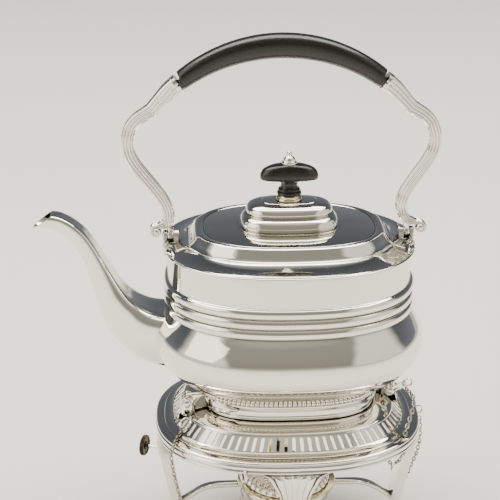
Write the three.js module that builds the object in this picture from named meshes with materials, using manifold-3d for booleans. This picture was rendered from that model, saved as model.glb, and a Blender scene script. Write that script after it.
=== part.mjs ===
import * as THREE from 'three';
import { mergeVertices } from 'three/addons/utils/BufferGeometryUtils.js';
import Module from 'manifold-3d';

// A spirit kettle on its stand, in millimetres, +Z up, spout toward -X, front toward -Y.

const wasm = await Module();
wasm.setup();

const FULL_TURN = 2 * Math.PI;
const RIGHT_ANGLE = Math.PI / 2;

// Counts of facets
const roundCount = 40;
const smallCount = 20;
const pinCount = 12;

// Sizes shared by several pieces. Every big oval is this much narrower than long, on each side.
const ovalDifference = 14;
const sheet = 1.3;
const fitGap = 0.3;
const seatGap = 0.1;
const overrun = 5;

// Rises of the pieces, from the table to the tip of the finial
const rimBottom = 84;
const rimDepth = 8.5;
const galleryRise = 13.8;
const footRise = 10;
const bandRise = 7;
const wallRise = 93.4;
const shoulderRise = 13.2;
const lidDrop = 0.2;
const domeRise = 17.8;
const collarRise = 3.7;
const stemRise = 10.5;
const buttonRise = 10.8;
const capRise = 8.9;

const rimTop = rimBottom + rimDepth;
const galleryTop = rimTop + galleryRise;
const footBottom = galleryTop + fitGap;
const footTop = footBottom + footRise;
const kettleBottom = footTop + bandRise;
const shoulderSeam = kettleBottom + wallRise;
const shoulderTop = shoulderSeam + shoulderRise;
const lidTop = shoulderTop - lidDrop;
const domeTop = lidTop + domeRise;
const collarTop = domeTop + collarRise;
const stemTop = collarTop + stemRise;
const buttonTop = stemTop + buttonRise;

// Reaches of the big ovals from the middle, along X
const wallReach = 81.3;
const shoulderReach = 83.7;
const footReach = 58.6;
const rimReach = 92;

// Handle pivots
const pivotReach = 79;
const pivotDrop = 5.8;
const pivotHeight = shoulderTop - pivotDrop;

// Hinge pins that hold the kettle on the stand
const hingeInset = 22;
const hingeReach = rimReach - hingeInset;
const hingeRise = 5.7;
const hingeHeight = galleryTop + hingeRise;

const group = new THREE.Group();
group.name = 'spirit_kettle_on_stand';

// Shape helpers

function closedGeometry(points, faces) {
  const positions = points.flatMap((point) => [point.x, point.y, point.z]);
  const volume = faces.reduce((sum, [a, b, c]) => {
    const cross = new THREE.Vector3().crossVectors(points[b], points[c]);
    return sum + points[a].dot(cross);
  }, 0);
  const facing = volume < 0 ? faces.map(([a, b, c]) => [a, c, b]) : faces;
  const geometry = new THREE.BufferGeometry();
  geometry.setAttribute('position', new THREE.Float32BufferAttribute(positions, 3));
  geometry.setIndex(facing.flat());
  return geometry;
}

function middleOf(points) {
  const sum = points.reduce((total, point) => total.add(point), new THREE.Vector3());
  return sum.divideScalar(points.length);
}

// Skin over rings of equal size. Joined: the last ring meets the first. Otherwise both ends are closed.
function loft(rings, joined = false) {
  const points = rings.flat();
  const count = rings[0].length;
  const faces = [];
  const bands = joined ? rings.length : rings.length - 1;
  for (let band = 0; band < bands; band += 1) {
    const lower = band * count;
    const upper = ((band + 1) % rings.length) * count;
    for (let index = 0; index < count; index += 1) {
      const next = (index + 1) % count;
      faces.push([lower + index, lower + next, upper + next]);
      faces.push([lower + index, upper + next, upper + index]);
    }
  }
  if (!joined) {
    const start = points.push(middleOf(rings[0])) - 1;
    const end = points.push(middleOf(rings.at(-1))) - 1;
    const last = (rings.length - 1) * count;
    for (let index = 0; index < count; index += 1) {
      const next = (index + 1) % count;
      faces.push([start, next, index]);
      faces.push([end, last + index, last + next]);
    }
  }
  return closedGeometry(points, faces);
}

function ovalPoint([halfLength, halfWidth, z, squareness = 2], angle) {
  const along = (Math.abs(Math.cos(angle)) / halfLength) ** squareness;
  const across = (Math.abs(Math.sin(angle)) / halfWidth) ** squareness;
  const radius = (along + across) ** (-1 / squareness);
  return new THREE.Vector3(radius * Math.cos(angle), radius * Math.sin(angle), z);
}

function ovalRing(station, count) {
  return Array.from({ length: count }, (_, index) => ovalPoint(station, (index / count) * FULL_TURN));
}

function ovalLoft(stations, { joined = false, count = roundCount } = {}) {
  return loft(stations.map((station) => ovalRing(station, count)), joined);
}

// Stations of the big ovals: reach along X, height, squareness.
function bigOvals(stations) {
  return stations.map(([reach, z, squareness]) => [reach, reach - ovalDifference, z, squareness]);
}

// The same from rows of reach share, height share and squareness.
function sharedOvals(rows, reach, low, rise) {
  return bigOvals(rows.map(([reachShare, riseShare, squareness]) => [
    reachShare * reach, low + riseShare * rise, squareness,
  ]));
}

// Stations of a small oval from rows of length share, width share, height share and squareness.
function smallOvals(rows, halfLength, halfWidth, low, rise) {
  return rows.map(([lengthShare, widthShare, riseShare, squareness]) => [
    lengthShare * halfLength, widthShare * halfWidth, low + riseShare * rise, squareness,
  ]);
}

// Stations of a round piece from rows of radius share and height share.
function sharedRounds(rows, radius, low, rise) {
  return rows.map(([radiusShare, riseShare]) => [radiusShare * radius, low + riseShare * rise]);
}

// The same stations pushed out and up, to cut a neighbour with a small gap.
function grown(stations, outward = fitGap, upward = 0) {
  return stations.map(([halfLength, halfWidth, z, squareness]) => [
    halfLength + outward, halfWidth + outward, z + upward, squareness,
  ]);
}

function roundLoft(stations, { joined = false, count = smallCount } = {}) {
  return ovalLoft(stations.map(([radius, z]) => [radius, radius, z]), { joined, count });
}

function toSolid(geometry) {
  const merged = mergeVertices(geometry, 1e-5);
  return new wasm.Manifold(new wasm.Mesh({
    numProp: 3,
    vertProperties: new Float32Array(merged.attributes.position.array),
    triVerts: new Uint32Array(merged.index.array),
  }));
}

function fromSolid(solid) {
  const mesh = solid.simplify(0.001).getMesh();
  const geometry = new THREE.BufferGeometry();
  geometry.setAttribute('position', new THREE.Float32BufferAttribute(Array.from(mesh.vertProperties), 3));
  geometry.setIndex(Array.from(mesh.triVerts));
  return geometry;
}

function cut(geometry, ...tools) {
  return fromSolid(tools.reduce((solid, tool) => solid.subtract(toSolid(tool)), toSolid(geometry)));
}

function fuse(first, ...others) {
  return fromSolid(others.reduce((solid, other) => solid.add(toSolid(other)), toSolid(first)));
}

// Straight rod between two points.
function rod(from, to, radius, count = pinCount) {
  const geometry = roundLoft([[radius, 0], [radius, 1]], { count });
  const length = from.distanceTo(to);
  const direction = new THREE.Vector3().subVectors(to, from).normalize();
  const turn = new THREE.Quaternion().setFromUnitVectors(new THREE.Vector3(0, 0, 1), direction);
  return geometry.applyMatrix4(new THREE.Matrix4().compose(from, turn, new THREE.Vector3(1, 1, length)));
}

// Flat plate in the XZ plane between two values of Y.
function plateXZ(outline, front, back) {
  return loft([front, back].map((y) => outline.map(([x, z]) => new THREE.Vector3(x, y, z))));
}

function box(low, high) {
  const outline = [[low[0], low[2]], [high[0], low[2]], [high[0], high[2]], [low[0], high[2]]];
  return plateXZ(outline, low[1], high[1]);
}

function arcPoints(centreX, centreZ, radius, from, to, count) {
  return Array.from({ length: count }, (_, index) => {
    const angle = from + ((to - from) * index) / (count - 1);
    return [centreX + radius * Math.cos(angle), centreZ + radius * Math.sin(angle)];
  });
}

// Even points on a smooth curve through the given points.
function smoothPoints(points, count, closed = false) {
  return new THREE.CatmullRomCurve3(points, closed, 'centripetal').getSpacedPoints(count);
}

// Tube of round section along points; an open tube has both ends closed.
function wire(points, radius, count, closed = false) {
  const last = points.length - 1;
  const path = closed ? points.slice(0, last) : points;
  const size = path.length;
  const tangents = path.map((_, index) => {
    const before = closed ? path[(index + size - 1) % size] : path[Math.max(index - 1, 0)];
    const after = closed ? path[(index + 1) % size] : path[Math.min(index + 1, size - 1)];
    return new THREE.Vector3().subVectors(after, before).normalize();
  });
  let side = new THREE.Vector3(0.31, 0.53, 0.79);
  const rings = path.map((point, index) => {
    side = side.clone().projectOnPlane(tangents[index]).normalize();
    const other = new THREE.Vector3().crossVectors(tangents[index], side);
    return Array.from({ length: count }, (_, step) => {
      const angle = (step / count) * FULL_TURN;
      return point.clone()
        .addScaledVector(side, radius * Math.cos(angle))
        .addScaledVector(other, radius * Math.sin(angle));
    });
  });
  return loft(rings, closed);
}

function ringWire(centre, radius, wireRadius, normal, count = 14) {
  const upward = new THREE.Vector3(0, 0, 1);
  const turn = new THREE.Quaternion().setFromUnitVectors(upward, normal.clone().normalize());
  const points = Array.from({ length: count + 1 }, (_, index) => {
    const angle = (index / count) * FULL_TURN;
    const point = new THREE.Vector3(radius * Math.cos(angle), radius * Math.sin(angle), 0);
    return point.applyQuaternion(turn).add(centre);
  });
  return wire(points, wireRadius, 6, true);
}

function mirrorX(geometry) {
  const copy = geometry.clone().applyMatrix4(new THREE.Matrix4().makeScale(-1, 1, 1));
  copy.index.array.reverse();
  return copy;
}

function turned(geometry, angle) {
  return geometry.clone().applyMatrix4(new THREE.Matrix4().makeRotationZ(angle));
}

const finishes = {
  silver: { color: 0xd9d6cf, metalness: 1, roughness: 0.22 },
  ebony: { color: 0x2b211c, metalness: 0, roughness: 0.38 },
  cotton: { color: 0xe6dcc4, metalness: 0, roughness: 0.95 },
  wheel: { color: 0x3a3530, metalness: 0.8, roughness: 0.4 },
};

function addPiece(name, geometry, finish) {
  const material = new THREE.MeshStandardMaterial({ name: finish, ...finishes[finish] });
  const mesh = new THREE.Mesh(mergeVertices(geometry, 1e-5), material);
  mesh.name = name;
  group.add(mesh);
}

// Kettle body: a thin bowl whose lower half bulges past its straight wall

const straightShare = 0.561;
const bodyOuterShares = [
  [0.492, 0, 2.8],
  [0.695, 0, 2.8],
  [0.849, 0.032, 2.7],
  [0.941, 0.079, 2.6],
  [1.021, 0.141, 2.5],
  [1.086, 0.214, 2.45],
  [1.122, 0.304, 2.45],
  [1.109, 0.406, 2.45],
  [1.063, 0.486, 2.4],
  [1, 0.561, 2.4],
  [1, 0.786, 2.4],
  [1, 1, 2.4],
];
const bodyInnerShares = [
  [1, 1, 2.4],
  [1, 0.559, 2.4],
  [1.066, 0.47, 2.4],
  [1.123, 0.295, 2.45],
  [1.025, 0.144, 2.5],
  [0.856, 0.034, 2.7],
  [0.7, 0, 2.8],
];
const bodyOutside = sharedOvals(bodyOuterShares, wallReach, kettleBottom, wallRise);
const bodyInside = sharedOvals(bodyInnerShares, wallReach - sheet, kettleBottom + sheet, wallRise - sheet);
const filledBody = ovalLoft(grown(bodyOutside));
const bulgeReach = bodyOutside[6][0];
const strainerRadius = 2.2;
const strainerPitch = 8;
const strainerRowRise = 7;
const strainerLift = 26.4;
const strainerCut = 15;
const strainerRows = [[-1, 1], [0, 2], [1, 1]];
const strainerHoles = strainerRows.flatMap(([row, halves]) => {
  const height = kettleBottom + strainerLift + row * strainerRowRise;
  const across = Array.from({ length: halves + 1 }, (_, index) => (index - halves / 2) * strainerPitch);
  return across.map((y) => rod(
    new THREE.Vector3(-bulgeReach - overrun, y, height),
    new THREE.Vector3(-bulgeReach + strainerCut, y, height),
    strainerRadius,
    8,
  ));
});
addPiece('kettle_body', cut(ovalLoft([...bodyOutside, ...bodyInside]), ...strainerHoles), 'silver');

// Shoulder: hollowed slope with a raised moulding round the lid seat

const openingReach = 53.5;
const seatReach = 57.3;
const seatDepth = 1.6;
const seatLevel = shoulderTop - seatDepth;
const lidSquareness = 2.6;
const collarMargin = 3.7;
const collarLength = seatReach + collarMargin;
const collarWidth = seatReach - ovalDifference + collarMargin - fitGap;
const slopeShares = [
  [0.982, 0, 2.35],
  [1, 0.076, 2.35],
  [1, 0.152, 2.35],
  [0.92, 0.235, 2.35],
  [0.85, 0.311, 2.4],
];
// Rows of the upright moulding round the lid seat, from its foot to its top
const seatCollarShares = [
  [1.098, 1.075, 0.371, 2.5],
  [1.072, 1.045, 0.485, 2.6],
  [1.056, 1.032, 0.72, 2.6],
  [1.033, 1.013, 0.924, 2.6],
  [1, 0.985, 1, 2.6],
];
const collarInnerShares = [
  [1.02, 0.98, 0.765, 2.6],
  [1.036, 1, 0.462, 2.6],
  [1.082, 1.042, 0.273, 2.5],
];
const slopeInnerShares = [
  [0.896, 0.121, 2.35],
  [0.956, 0.076, 2.35],
];
const slopeProfile = sharedOvals(slopeShares, shoulderReach, shoulderSeam, shoulderRise);
const collarProfile = smallOvals(seatCollarShares, collarLength, collarWidth, shoulderSeam, shoulderRise);
const shoulderProfile = [
  ...slopeProfile,
  ...collarProfile,
  ...bigOvals([
    [seatReach, shoulderTop, lidSquareness],
    [seatReach, seatLevel, lidSquareness],
    [openingReach, seatLevel, lidSquareness],
    [openingReach, seatLevel - sheet, lidSquareness],
  ]),
  ...smallOvals(collarInnerShares, collarLength, collarWidth, shoulderSeam, shoulderRise),
  ...sharedOvals(slopeInnerShares, shoulderReach, shoulderSeam, shoulderRise),
  ...bigOvals([[wallReach - sheet, shoulderSeam, 2.4]]),
];
addPiece('kettle_shoulder', ovalLoft(shoulderProfile, { joined: true }), 'silver');

// Girdle of three reeds round the wall

const reedPitch = 7;
const reedWidth = 6.6;
const reedDepth = 2.5;
const reedRoot = 0.9;
const reedCount = 3;
const girdleBottom = kettleBottom + straightShare * wallRise + fitGap;
const girdleTop = girdleBottom + (reedCount - 1) * reedPitch + reedWidth + fitGap;
const girdleBack = wallReach + seatGap;
const reedStations = Array.from({ length: reedCount }, (_, reed) => girdleBottom + reed * reedPitch)
  .flatMap((base) => [
    [girdleBack + reedRoot, base],
    [wallReach + reedDepth, base + reedWidth / 2],
    [girdleBack + reedRoot, base + reedWidth],
  ]);
const girdle = bigOvals([[girdleBack, girdleBottom], ...reedStations, [girdleBack, girdleTop]]
  .map(([reach, z]) => [reach, z, 2.4]));
addPiece('reeded_girdle', ovalLoft(girdle, { joined: true }), 'silver');

// Foot ring and the rounded band above it

const footSheet = 4.6;
addPiece('foot_ring', ovalLoft(bigOvals([
  [footReach, footBottom, 2.9],
  [footReach, footTop, 2.9],
  [footReach - footSheet, footTop, 2.9],
  [footReach - footSheet, footBottom, 2.9],
]), { joined: true }), 'silver');
const bandShares = [
  [1, 0, 2.85],
  [1.041, 0.2, 2.85],
  [1.051, 0.543, 2.85],
  [1.017, 0.857, 2.85],
  [0.961, 1, 2.8],
  [0.887, 1, 2.8],
  [0.887, 0, 2.8],
];
const bandProfile = sharedOvals(bandShares, footReach, footTop, bandRise);
const bandReach = bandProfile[2][0];
addPiece('gadroon_band', ovalLoft(bandProfile, { joined: true }), 'silver');
const filledFoot = ovalLoft(grown([
  ...bigOvals([[footReach, footBottom - sheet, 2.9], [footReach, footTop - fitGap, 2.9]]),
  ...grown(bandProfile.slice(1, 3), 0, -fitGap),
  ...bigOvals([[bandReach, kettleBottom + sheet, 2.85]]),
]));

// Spout: flat topped, round bellied, open from the body to its pointed lip

const spoutReach = 169.4;
const spoutLift = 2.8;
const spoutRise = 114.6;
const spoutHalfWidth = 20.6;
const spoutFoot = kettleBottom + spoutLift;
// Rows of top reach and height, belly reach and height, half width
const spoutRouteShares = [
  [0.924, 1, 1, 0.919, 0.316],
  [0.897, 0.991, 0.945, 0.906, 0.34],
  [0.865, 0.969, 0.901, 0.885, 0.359],
  [0.829, 0.934, 0.868, 0.848, 0.388],
  [0.794, 0.882, 0.842, 0.799, 0.417],
  [0.764, 0.817, 0.824, 0.752, 0.451],
  [0.732, 0.732, 0.81, 0.699, 0.495],
  [0.702, 0.654, 0.796, 0.625, 0.544],
  [0.67, 0.565, 0.78, 0.555, 0.612],
  [0.638, 0.501, 0.767, 0.481, 0.689],
  [0.608, 0.462, 0.754, 0.407, 0.748],
  [0.579, 0.433, 0.736, 0.319, 0.796],
  [0.549, 0.413, 0.705, 0.234, 0.854],
  [0.519, 0.401, 0.658, 0.147, 0.913],
  [0.49, 0.396, 0.579, 0.054, 0.961],
  [0.455, 0.393, 0.46, 0, 1],
];
const spoutSideShares = [[0, 0.5], [0, 1], [0.2, 1.06], [0.45, 1.02], [0.7, 0.82], [0.88, 0.5]];

function spoutRing([topReach, topRise, bellyReach, bellyRise, widthShare], inward) {
  const top = new THREE.Vector3(-topReach * spoutReach, 0, spoutFoot + topRise * spoutRise);
  const belly = new THREE.Vector3(-bellyReach * spoutReach, 0, spoutFoot + bellyRise * spoutRise);
  const down = new THREE.Vector3().subVectors(belly, top).normalize();
  top.addScaledVector(down, inward);
  belly.addScaledVector(down, -inward);
  const halfWidth = widthShare * spoutHalfWidth - inward;
  const side = spoutSideShares.map(([downShare, sideShare]) => {
    const point = new THREE.Vector3().lerpVectors(top, belly, downShare);
    point.y = halfWidth * sideShare;
    return point;
  });
  const otherSide = side.map((point) => new THREE.Vector3(point.x, -point.y, point.z)).reverse();
  return [...side, belly, ...otherSide];
}

const spoutOuter = spoutRouteShares.map((row) => spoutRing(row, 0));
const spoutInner = spoutRouteShares.map((row) => spoutRing(row, sheet)).reverse();
addPiece('spout', cut(loft([...spoutOuter, ...spoutInner], true), filledBody), 'silver');

// Lid: flat plate with a skirt, and a stepped dome over its opening

const domeHalfLength = 32.6;
const domeHalfWidth = 21;
const domeHoleShares = [0.89, 0.838];
const lidReach = seatReach - fitGap;
const lidUnder = seatLevel + seatGap;
const skirtReach = openingReach - fitGap - seatGap;
const skirtDepth = 5.7;
const skirtSheet = 1;
const domeHole = [domeHoleShares[0] * domeHalfLength, domeHoleShares[1] * domeHalfWidth];
addPiece('lid_plate', ovalLoft([
  ...bigOvals([
    [lidReach, lidTop, lidSquareness],
    [lidReach, lidUnder + seatGap, lidSquareness],
    [skirtReach, lidUnder, lidSquareness],
    [skirtReach, lidUnder - skirtDepth, lidSquareness],
    [skirtReach - skirtSheet, lidUnder - skirtDepth, lidSquareness],
    [skirtReach - skirtSheet, lidUnder, lidSquareness],
  ]),
  [...domeHole, lidUnder, 2.8],
  [...domeHole, lidTop, 2.8],
], { joined: true }), 'silver');
const boltRadius = 1.5;
const boltBore = boltRadius + fitGap;
const domeUnderShare = 0.865;
const domeOuterShares = [
  [0.982, 0.971, 0, 2.8],
  [1, 1, 0.174, 2.8],
  [0.972, 0.957, 0.354, 2.8],
  [0.908, 0.862, 0.478, 2.8],
  [0.862, 0.79, 0.517, 2.8],
  [0.868, 0.8, 0.702, 2.8],
  [0.81, 0.724, 0.871, 2.8],
  [0.706, 0.6, 0.955, 2.8],
  [0.552, 0.429, 1, 2.8],
];
const domeInnerShares = [
  [0.521, 0.381, 0.865, 3],
  [0.785, 0.695, 0.719, 2.8],
  [0.798, 0.705, 0.528, 2.8],
  [0.933, 0.905, 0.382, 2.8],
  [0.963, 0.943, 0.202, 2.8],
  [0.926, 0.89, 0, 2.8],
];
addPiece('lid_dome', ovalLoft([
  ...smallOvals(domeOuterShares, domeHalfLength, domeHalfWidth, lidTop, domeRise),
  [boltBore, boltBore, domeTop, 2],
  [boltBore, boltBore, lidTop + domeUnderShare * domeRise + fitGap, 2],
  ...smallOvals(domeInnerShares, domeHalfLength, domeHalfWidth, lidTop, domeRise),
], { joined: true, count: 32 }), 'silver');

// Finial on the dome, held by a bolt from its cap to a nut under the dome

const collarHalfLength = 8.5;
const collarHalfWidth = 7.6;
const stemHalfLength = 8.15;
const stemHalfWidth = 7;
const buttonHalfLength = 19.25;
const buttonHalfWidth = 7;
const capHalfLength = 5.2;
const capHalfWidth = 4.8;
const collarShares = [
  [0.941, 0.974, 0, 2.2],
  [1, 1, 0.405, 2.2],
  [0.871, 0.895, 1, 2.2],
];
const stemShares = [
  [0.883, 0.943, 0, 2.2],
  [1, 1, 0.171, 2.2],
  [0.859, 0.914, 0.467, 2.2],
  [0.675, 0.771, 0.676, 2.2],
  [0.859, 0.829, 1, 2.2],
];
const buttonShares = [
  [0.956, 0.9, 0, 2.6],
  [1, 1, 0.093, 2.6],
  [0.992, 1, 0.37, 2.6],
  [0.873, 0.914, 0.685, 2.6],
  [0.571, 0.771, 0.926, 2.5],
  [0.291, 0.657, 1, 2.2],
];
const capShares = [
  [0.962, 0.958, 0, 2],
  [1, 1, 0.18, 2],
  [0.769, 0.792, 0.404, 2],
  [0.327, 0.354, 0.652, 2],
  [0.288, 0.312, 0.854, 2],
  [0.096, 0.104, 1, 2],
];

function boredPiece(rows, halfLength, halfWidth, low, rise) {
  return ovalLoft([
    ...smallOvals(rows, halfLength, halfWidth, low, rise),
    [boltBore, boltBore, low + rise, 2],
    [boltBore, boltBore, low, 2],
  ], { joined: true, count: smallCount });
}

addPiece('finial_collar', boredPiece(
  collarShares, collarHalfLength, collarHalfWidth, domeTop, collarRise,
), 'silver');
addPiece('finial_stem', boredPiece(stemShares, stemHalfLength, stemHalfWidth, collarTop, stemRise), 'ebony');
addPiece('finial_button', boredPiece(
  buttonShares, buttonHalfLength, buttonHalfWidth, stemTop, buttonRise,
), 'ebony');
const boltReach = 1.6;
const boltTop = buttonTop + boltReach;
const boreTipRadius = 0.9;
const boreTipRise = 0.8;
addPiece('finial_cap', ovalLoft([
  [boreTipRadius, boreTipRadius, boltTop + boreTipRise, 2],
  [boltBore, boltBore, boltTop + fitGap, 2],
  [boltBore, boltBore, buttonTop, 2],
  ...smallOvals(capShares, capHalfLength, capHalfWidth, buttonTop, capRise),
], { count: smallCount }), 'silver');
const nutRadius = 4;
const nutRise = 3.2;
const boltOvershoot = 1.5;
const nutTop = lidTop + domeUnderShare * domeRise - seatGap - seatGap;
const nutBottom = nutTop - nutRise;
addPiece('finial_bolt', roundLoft([
  [boltRadius, nutBottom - boltOvershoot],
  [boltRadius, boltTop],
], { count: pinCount }), 'silver');
addPiece('finial_nut', roundLoft([
  [nutRadius, nutBottom],
  [nutRadius, nutTop],
  [boltBore, nutTop],
  [boltBore, nutBottom],
], { joined: true, count: pinCount }), 'silver');

// Lid hinge at the back edge

const lidKnuckle = 2;
const lidPinRadius = 0.8;
const lidPinOvershoot = 0.8;
const middleHalf = 4;
const outerLength = 6;
const lidHingeOut = 1.8;
const knuckleLift = 1.5;
const leafLength = 5;
const leafThick = 0.9;
const slabThick = 3.2;
const slabOffset = 0.8;
const slabRise = 1.1;
const postInset = 0.6;
const linkInset = 1.6;
const lidEdge = lidReach - ovalDifference;
const lidHingeY = lidEdge + lidHingeOut;
const lidHingeHeight = shoulderTop + lidKnuckle + knuckleLift;
const outerFrom = middleHalf + fitGap;
const outerTo = outerFrom + outerLength;

function lidHingeRod(from, to, radius, count = pinCount) {
  return rod(
    new THREE.Vector3(from, lidHingeY, lidHingeHeight),
    new THREE.Vector3(to, lidHingeY, lidHingeHeight),
    radius,
    count,
  );
}

const lidPinBore = lidHingeRod(-outerTo - overrun, outerTo + overrun, lidPinRadius + fitGap, 8);
const lidLeafPlate = box(
  [-middleHalf, lidEdge - leafLength, lidTop],
  [middleHalf, lidEdge - seatGap, lidTop + leafThick],
);
const lidLeafLink = box(
  [-middleHalf, lidEdge - linkInset, lidTop + leafThick / 2],
  [middleHalf, lidHingeY - lidPinRadius - fitGap, lidHingeHeight + knuckleLift],
);
addPiece('lid_hinge_leaf', cut(
  fuse(lidLeafPlate, lidLeafLink, lidHingeRod(-middleHalf, middleHalf, lidKnuckle)),
  lidPinBore,
), 'silver');
const leafSlab = box(
  [-outerTo, lidHingeY + slabOffset, seatLevel],
  [outerTo, lidHingeY + slabOffset + slabThick, shoulderTop + slabRise],
);
const leafPosts = [-1, 1].flatMap((side) => {
  const ends = [side * outerFrom, side * outerTo];
  return [
    lidHingeRod(ends[0], ends[1], lidKnuckle),
    box(
      [Math.min(...ends), lidHingeY + postInset, shoulderTop + seatGap],
      [Math.max(...ends), lidHingeY + slabOffset + leafThick, lidHingeHeight + postInset],
    ),
  ];
});
const filledShoulder = ovalLoft(grown([
  ...bigOvals([
    [wallReach - 2 * overrun, shoulderSeam - overrun, 2.35],
    [shoulderReach, shoulderSeam - overrun / 2, 2.35],
  ]),
  ...slopeProfile.slice(2),
  ...collarProfile,
  [sheet, sheet, shoulderTop, 2],
], fitGap, fitGap));
addPiece('body_hinge_leaf', cut(fuse(leafSlab, ...leafPosts), lidPinBore, filledShoulder), 'silver');
const lidPinHalf = outerTo + lidPinOvershoot;
addPiece('lid_hinge_pin', lidHingeRod(-lidPinHalf, lidPinHalf, lidPinRadius, 8), 'silver');

// Handle: an ebony grip between two silver straps that turn on pins over the shoulder

const handleLean = -5.2;
const leanRise = 20;
const leanGap = 4;

function leanAt(height) {
  const rise = Math.max(height - pivotHeight - leanGap, 0);
  return handleLean * (1 - Math.exp(-rise / leanRise));
}

const gripHalfSpan = 67.5;
const armReach = 101.2;
const armRise = 103.3;
const neckRise = 11.6;
const scrollOut = 9;
const strapWidth = 7;
const strapDepth = 6.5;
// Rows of reach, height, strap width and strap depth, down from the grip. The reach is a share of the
// way from the grip's end to the widest place, then from the pivot to there, then to the scroll.
const upperArmShares = [
  [0, 1, 1.714, 1.846],
  [0.178, 0.951, 1.6, 1.631],
  [0.329, 0.898, 1.343, 1.323],
  [0.463, 0.839, 1.1, 1.138],
  [0.626, 0.811, 1, 1.015],
  [0.804, 0.774, 1, 1],
  [0.932, 0.718, 1, 1],
  [1, 0.64, 1, 1],
];
const lowerArmShares = [
  [0.964, 0.561, 1, 1],
  [0.82, 0.49, 1, 1],
  [0.568, 0.412, 1, 1],
  [0.266, 0.325, 1, 1],
  [0.036, 0.248, 1, 1],
];
const scrollArmShares = [
  [-0.178, 0.17, 1, 1],
  [-0.178, 0.116, 0.943, 0.954],
  [0.067, 0.081, 0.714, 0.862],
  [0.444, 0.067, 0.6, 0.8],
  [0.844, 0.066, 0.429, 0.708],
];
const neckShares = [[-0.158, 1, 0.857, 0.923], [-0.009, 0.483, 0.543, 0.769], [0, -0.034, 0.529, 0.677]];
const strapSectionShares = [
  [1, 0.5], [0.5, 1], [-0.5, 1], [-1, 0.5], [-1, -0.5], [-0.5, -1], [0.5, -1], [1, -0.5],
];

// Section points of a strap lying in the XZ plane, square to its path.
function strapRings(path, start) {
  return path.map(([x, z, width, depth], index) => {
    const [beforeX, beforeZ] = path[Math.max(index - 1, 0)];
    const [afterX, afterZ] = path[Math.min(index + 1, path.length - 1)];
    const tangent = new THREE.Vector2(afterX - beforeX, afterZ - beforeZ).normalize();
    const direction = index === 0 && start ? start : tangent;
    return strapSectionShares.map(([widthShare, depthShare]) => new THREE.Vector3(
      x - direction.y * widthShare * width / 2,
      depthShare * depth / 2,
      z + direction.x * widthShare * width / 2,
    ));
  });
}

function strapPath(rows, from, to, rise) {
  return rows.map(([reachShare, riseShare, widthShare, depthShare]) => [
    from + reachShare * (to - from),
    pivotHeight + riseShare * rise,
    widthShare * strapWidth,
    depthShare * strapDepth,
  ]);
}

const scrollReach = pivotReach + scrollOut;
const armPath = [
  ...strapPath(upperArmShares, gripHalfSpan, armReach, armRise),
  ...strapPath(lowerArmShares, pivotReach, armReach, armRise),
  ...strapPath(scrollArmShares, pivotReach, scrollReach, armRise),
];
const gripEndHeight = armPath[0][1];
const gripTangent = new THREE.Vector2(0.827, -0.562).normalize();

// Place on the joint of grip and strap, this far along the strap from the grip's end.
function onGripEnd(distance) {
  return new THREE.Vector3(
    gripHalfSpan + distance * gripTangent.x,
    0,
    gripEndHeight + distance * gripTangent.y,
  );
}

const tenonReach = 8;
const tenonRadius = 2.6;
const tenonRoot = 1;
const dowelReach = 4.6;
const dowelRadius = 1;
const dowelHalf = 5.4;
const dowelPlace = onGripEnd(dowelReach);

function dowelRod(radius, halfLength) {
  return rod(
    new THREE.Vector3(dowelPlace.x, -halfLength, dowelPlace.z),
    new THREE.Vector3(dowelPlace.x, halfLength, dowelPlace.z),
    radius,
    8,
  );
}

const dowelBore = dowelRod(dowelRadius + seatGap, dowelHalf + overrun);
const eyeRadius = 3.3;
const eyeHalf = 1.9;
const handlePinRadius = 1.4;

function alongX(from, to, radius, count = 16) {
  return rod(new THREE.Vector3(from, 0, pivotHeight), new THREE.Vector3(to, 0, pivotHeight), radius, count);
}

const scrollLift = 3.1;
const scrollRadius = 2.8;
const scrollWire = 1.3;
const scrollCentre = new THREE.Vector3(scrollReach, 0, pivotHeight + scrollLift);
const scroll = ringWire(scrollCentre, scrollRadius, scrollWire, new THREE.Vector3(0, 1, 0), 10);
const armWithEye = fuse(
  loft(strapRings(armPath, gripTangent)),
  loft(strapRings(strapPath(neckShares, pivotReach, scrollReach, neckRise))),
  scroll,
  alongX(pivotReach - eyeHalf, pivotReach + eyeHalf, eyeRadius),
);
const straightArm = cut(
  armWithEye,
  rod(onGripEnd(-tenonRoot), onGripEnd(tenonReach + fitGap), tenonRadius + fitGap),
  dowelBore,
  alongX(pivotReach - eyeHalf - overrun, pivotReach + eyeHalf + overrun / 2, handlePinRadius + fitGap),
);

const gripRise = 24.1;
const gripEndHalf = 6;
const gripThickSwell = 2;
const gripDeepSwell = 1.5;
const gripArcCount = 15;
const gripSides = 16;
const gripArcRadius = (gripHalfSpan ** 2 + gripRise ** 2) / (2 * gripRise);
const gripArcCentre = gripEndHeight + gripRise - gripArcRadius;
const gripEndAngle = Math.asin(gripHalfSpan / gripArcRadius);
const gripRings = Array.from({ length: gripArcCount }, (_, index) => {
  const share = (index / (gripArcCount - 1)) * 2 - 1;
  const angle = share * gripEndAngle;
  const swell = Math.cos(share * RIGHT_ANGLE);
  const isEnd = index === 0 || index === gripArcCount - 1;
  const outward = isEnd
    ? new THREE.Vector2(-Math.sign(share) * gripTangent.y, gripTangent.x)
    : new THREE.Vector2(Math.sin(angle), Math.cos(angle));
  return Array.from({ length: gripSides }, (_unused, step) => {
    const around = (step / gripSides) * FULL_TURN;
    const up = (gripEndHalf + gripThickSwell * swell) * Math.cos(around);
    return new THREE.Vector3(
      gripArcRadius * Math.sin(angle) + outward.x * up,
      (gripEndHalf + gripDeepSwell * swell) * Math.sin(around),
      gripArcCentre + gripArcRadius * Math.cos(angle) + outward.y * up,
    );
  });
});
const tenon = rod(onGripEnd(-tenonRoot), onGripEnd(tenonReach), tenonRadius);
const straightGrip = cut(fuse(loft(gripRings), tenon, mirrorX(tenon)), dowelBore, mirrorX(dowelBore));

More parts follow.
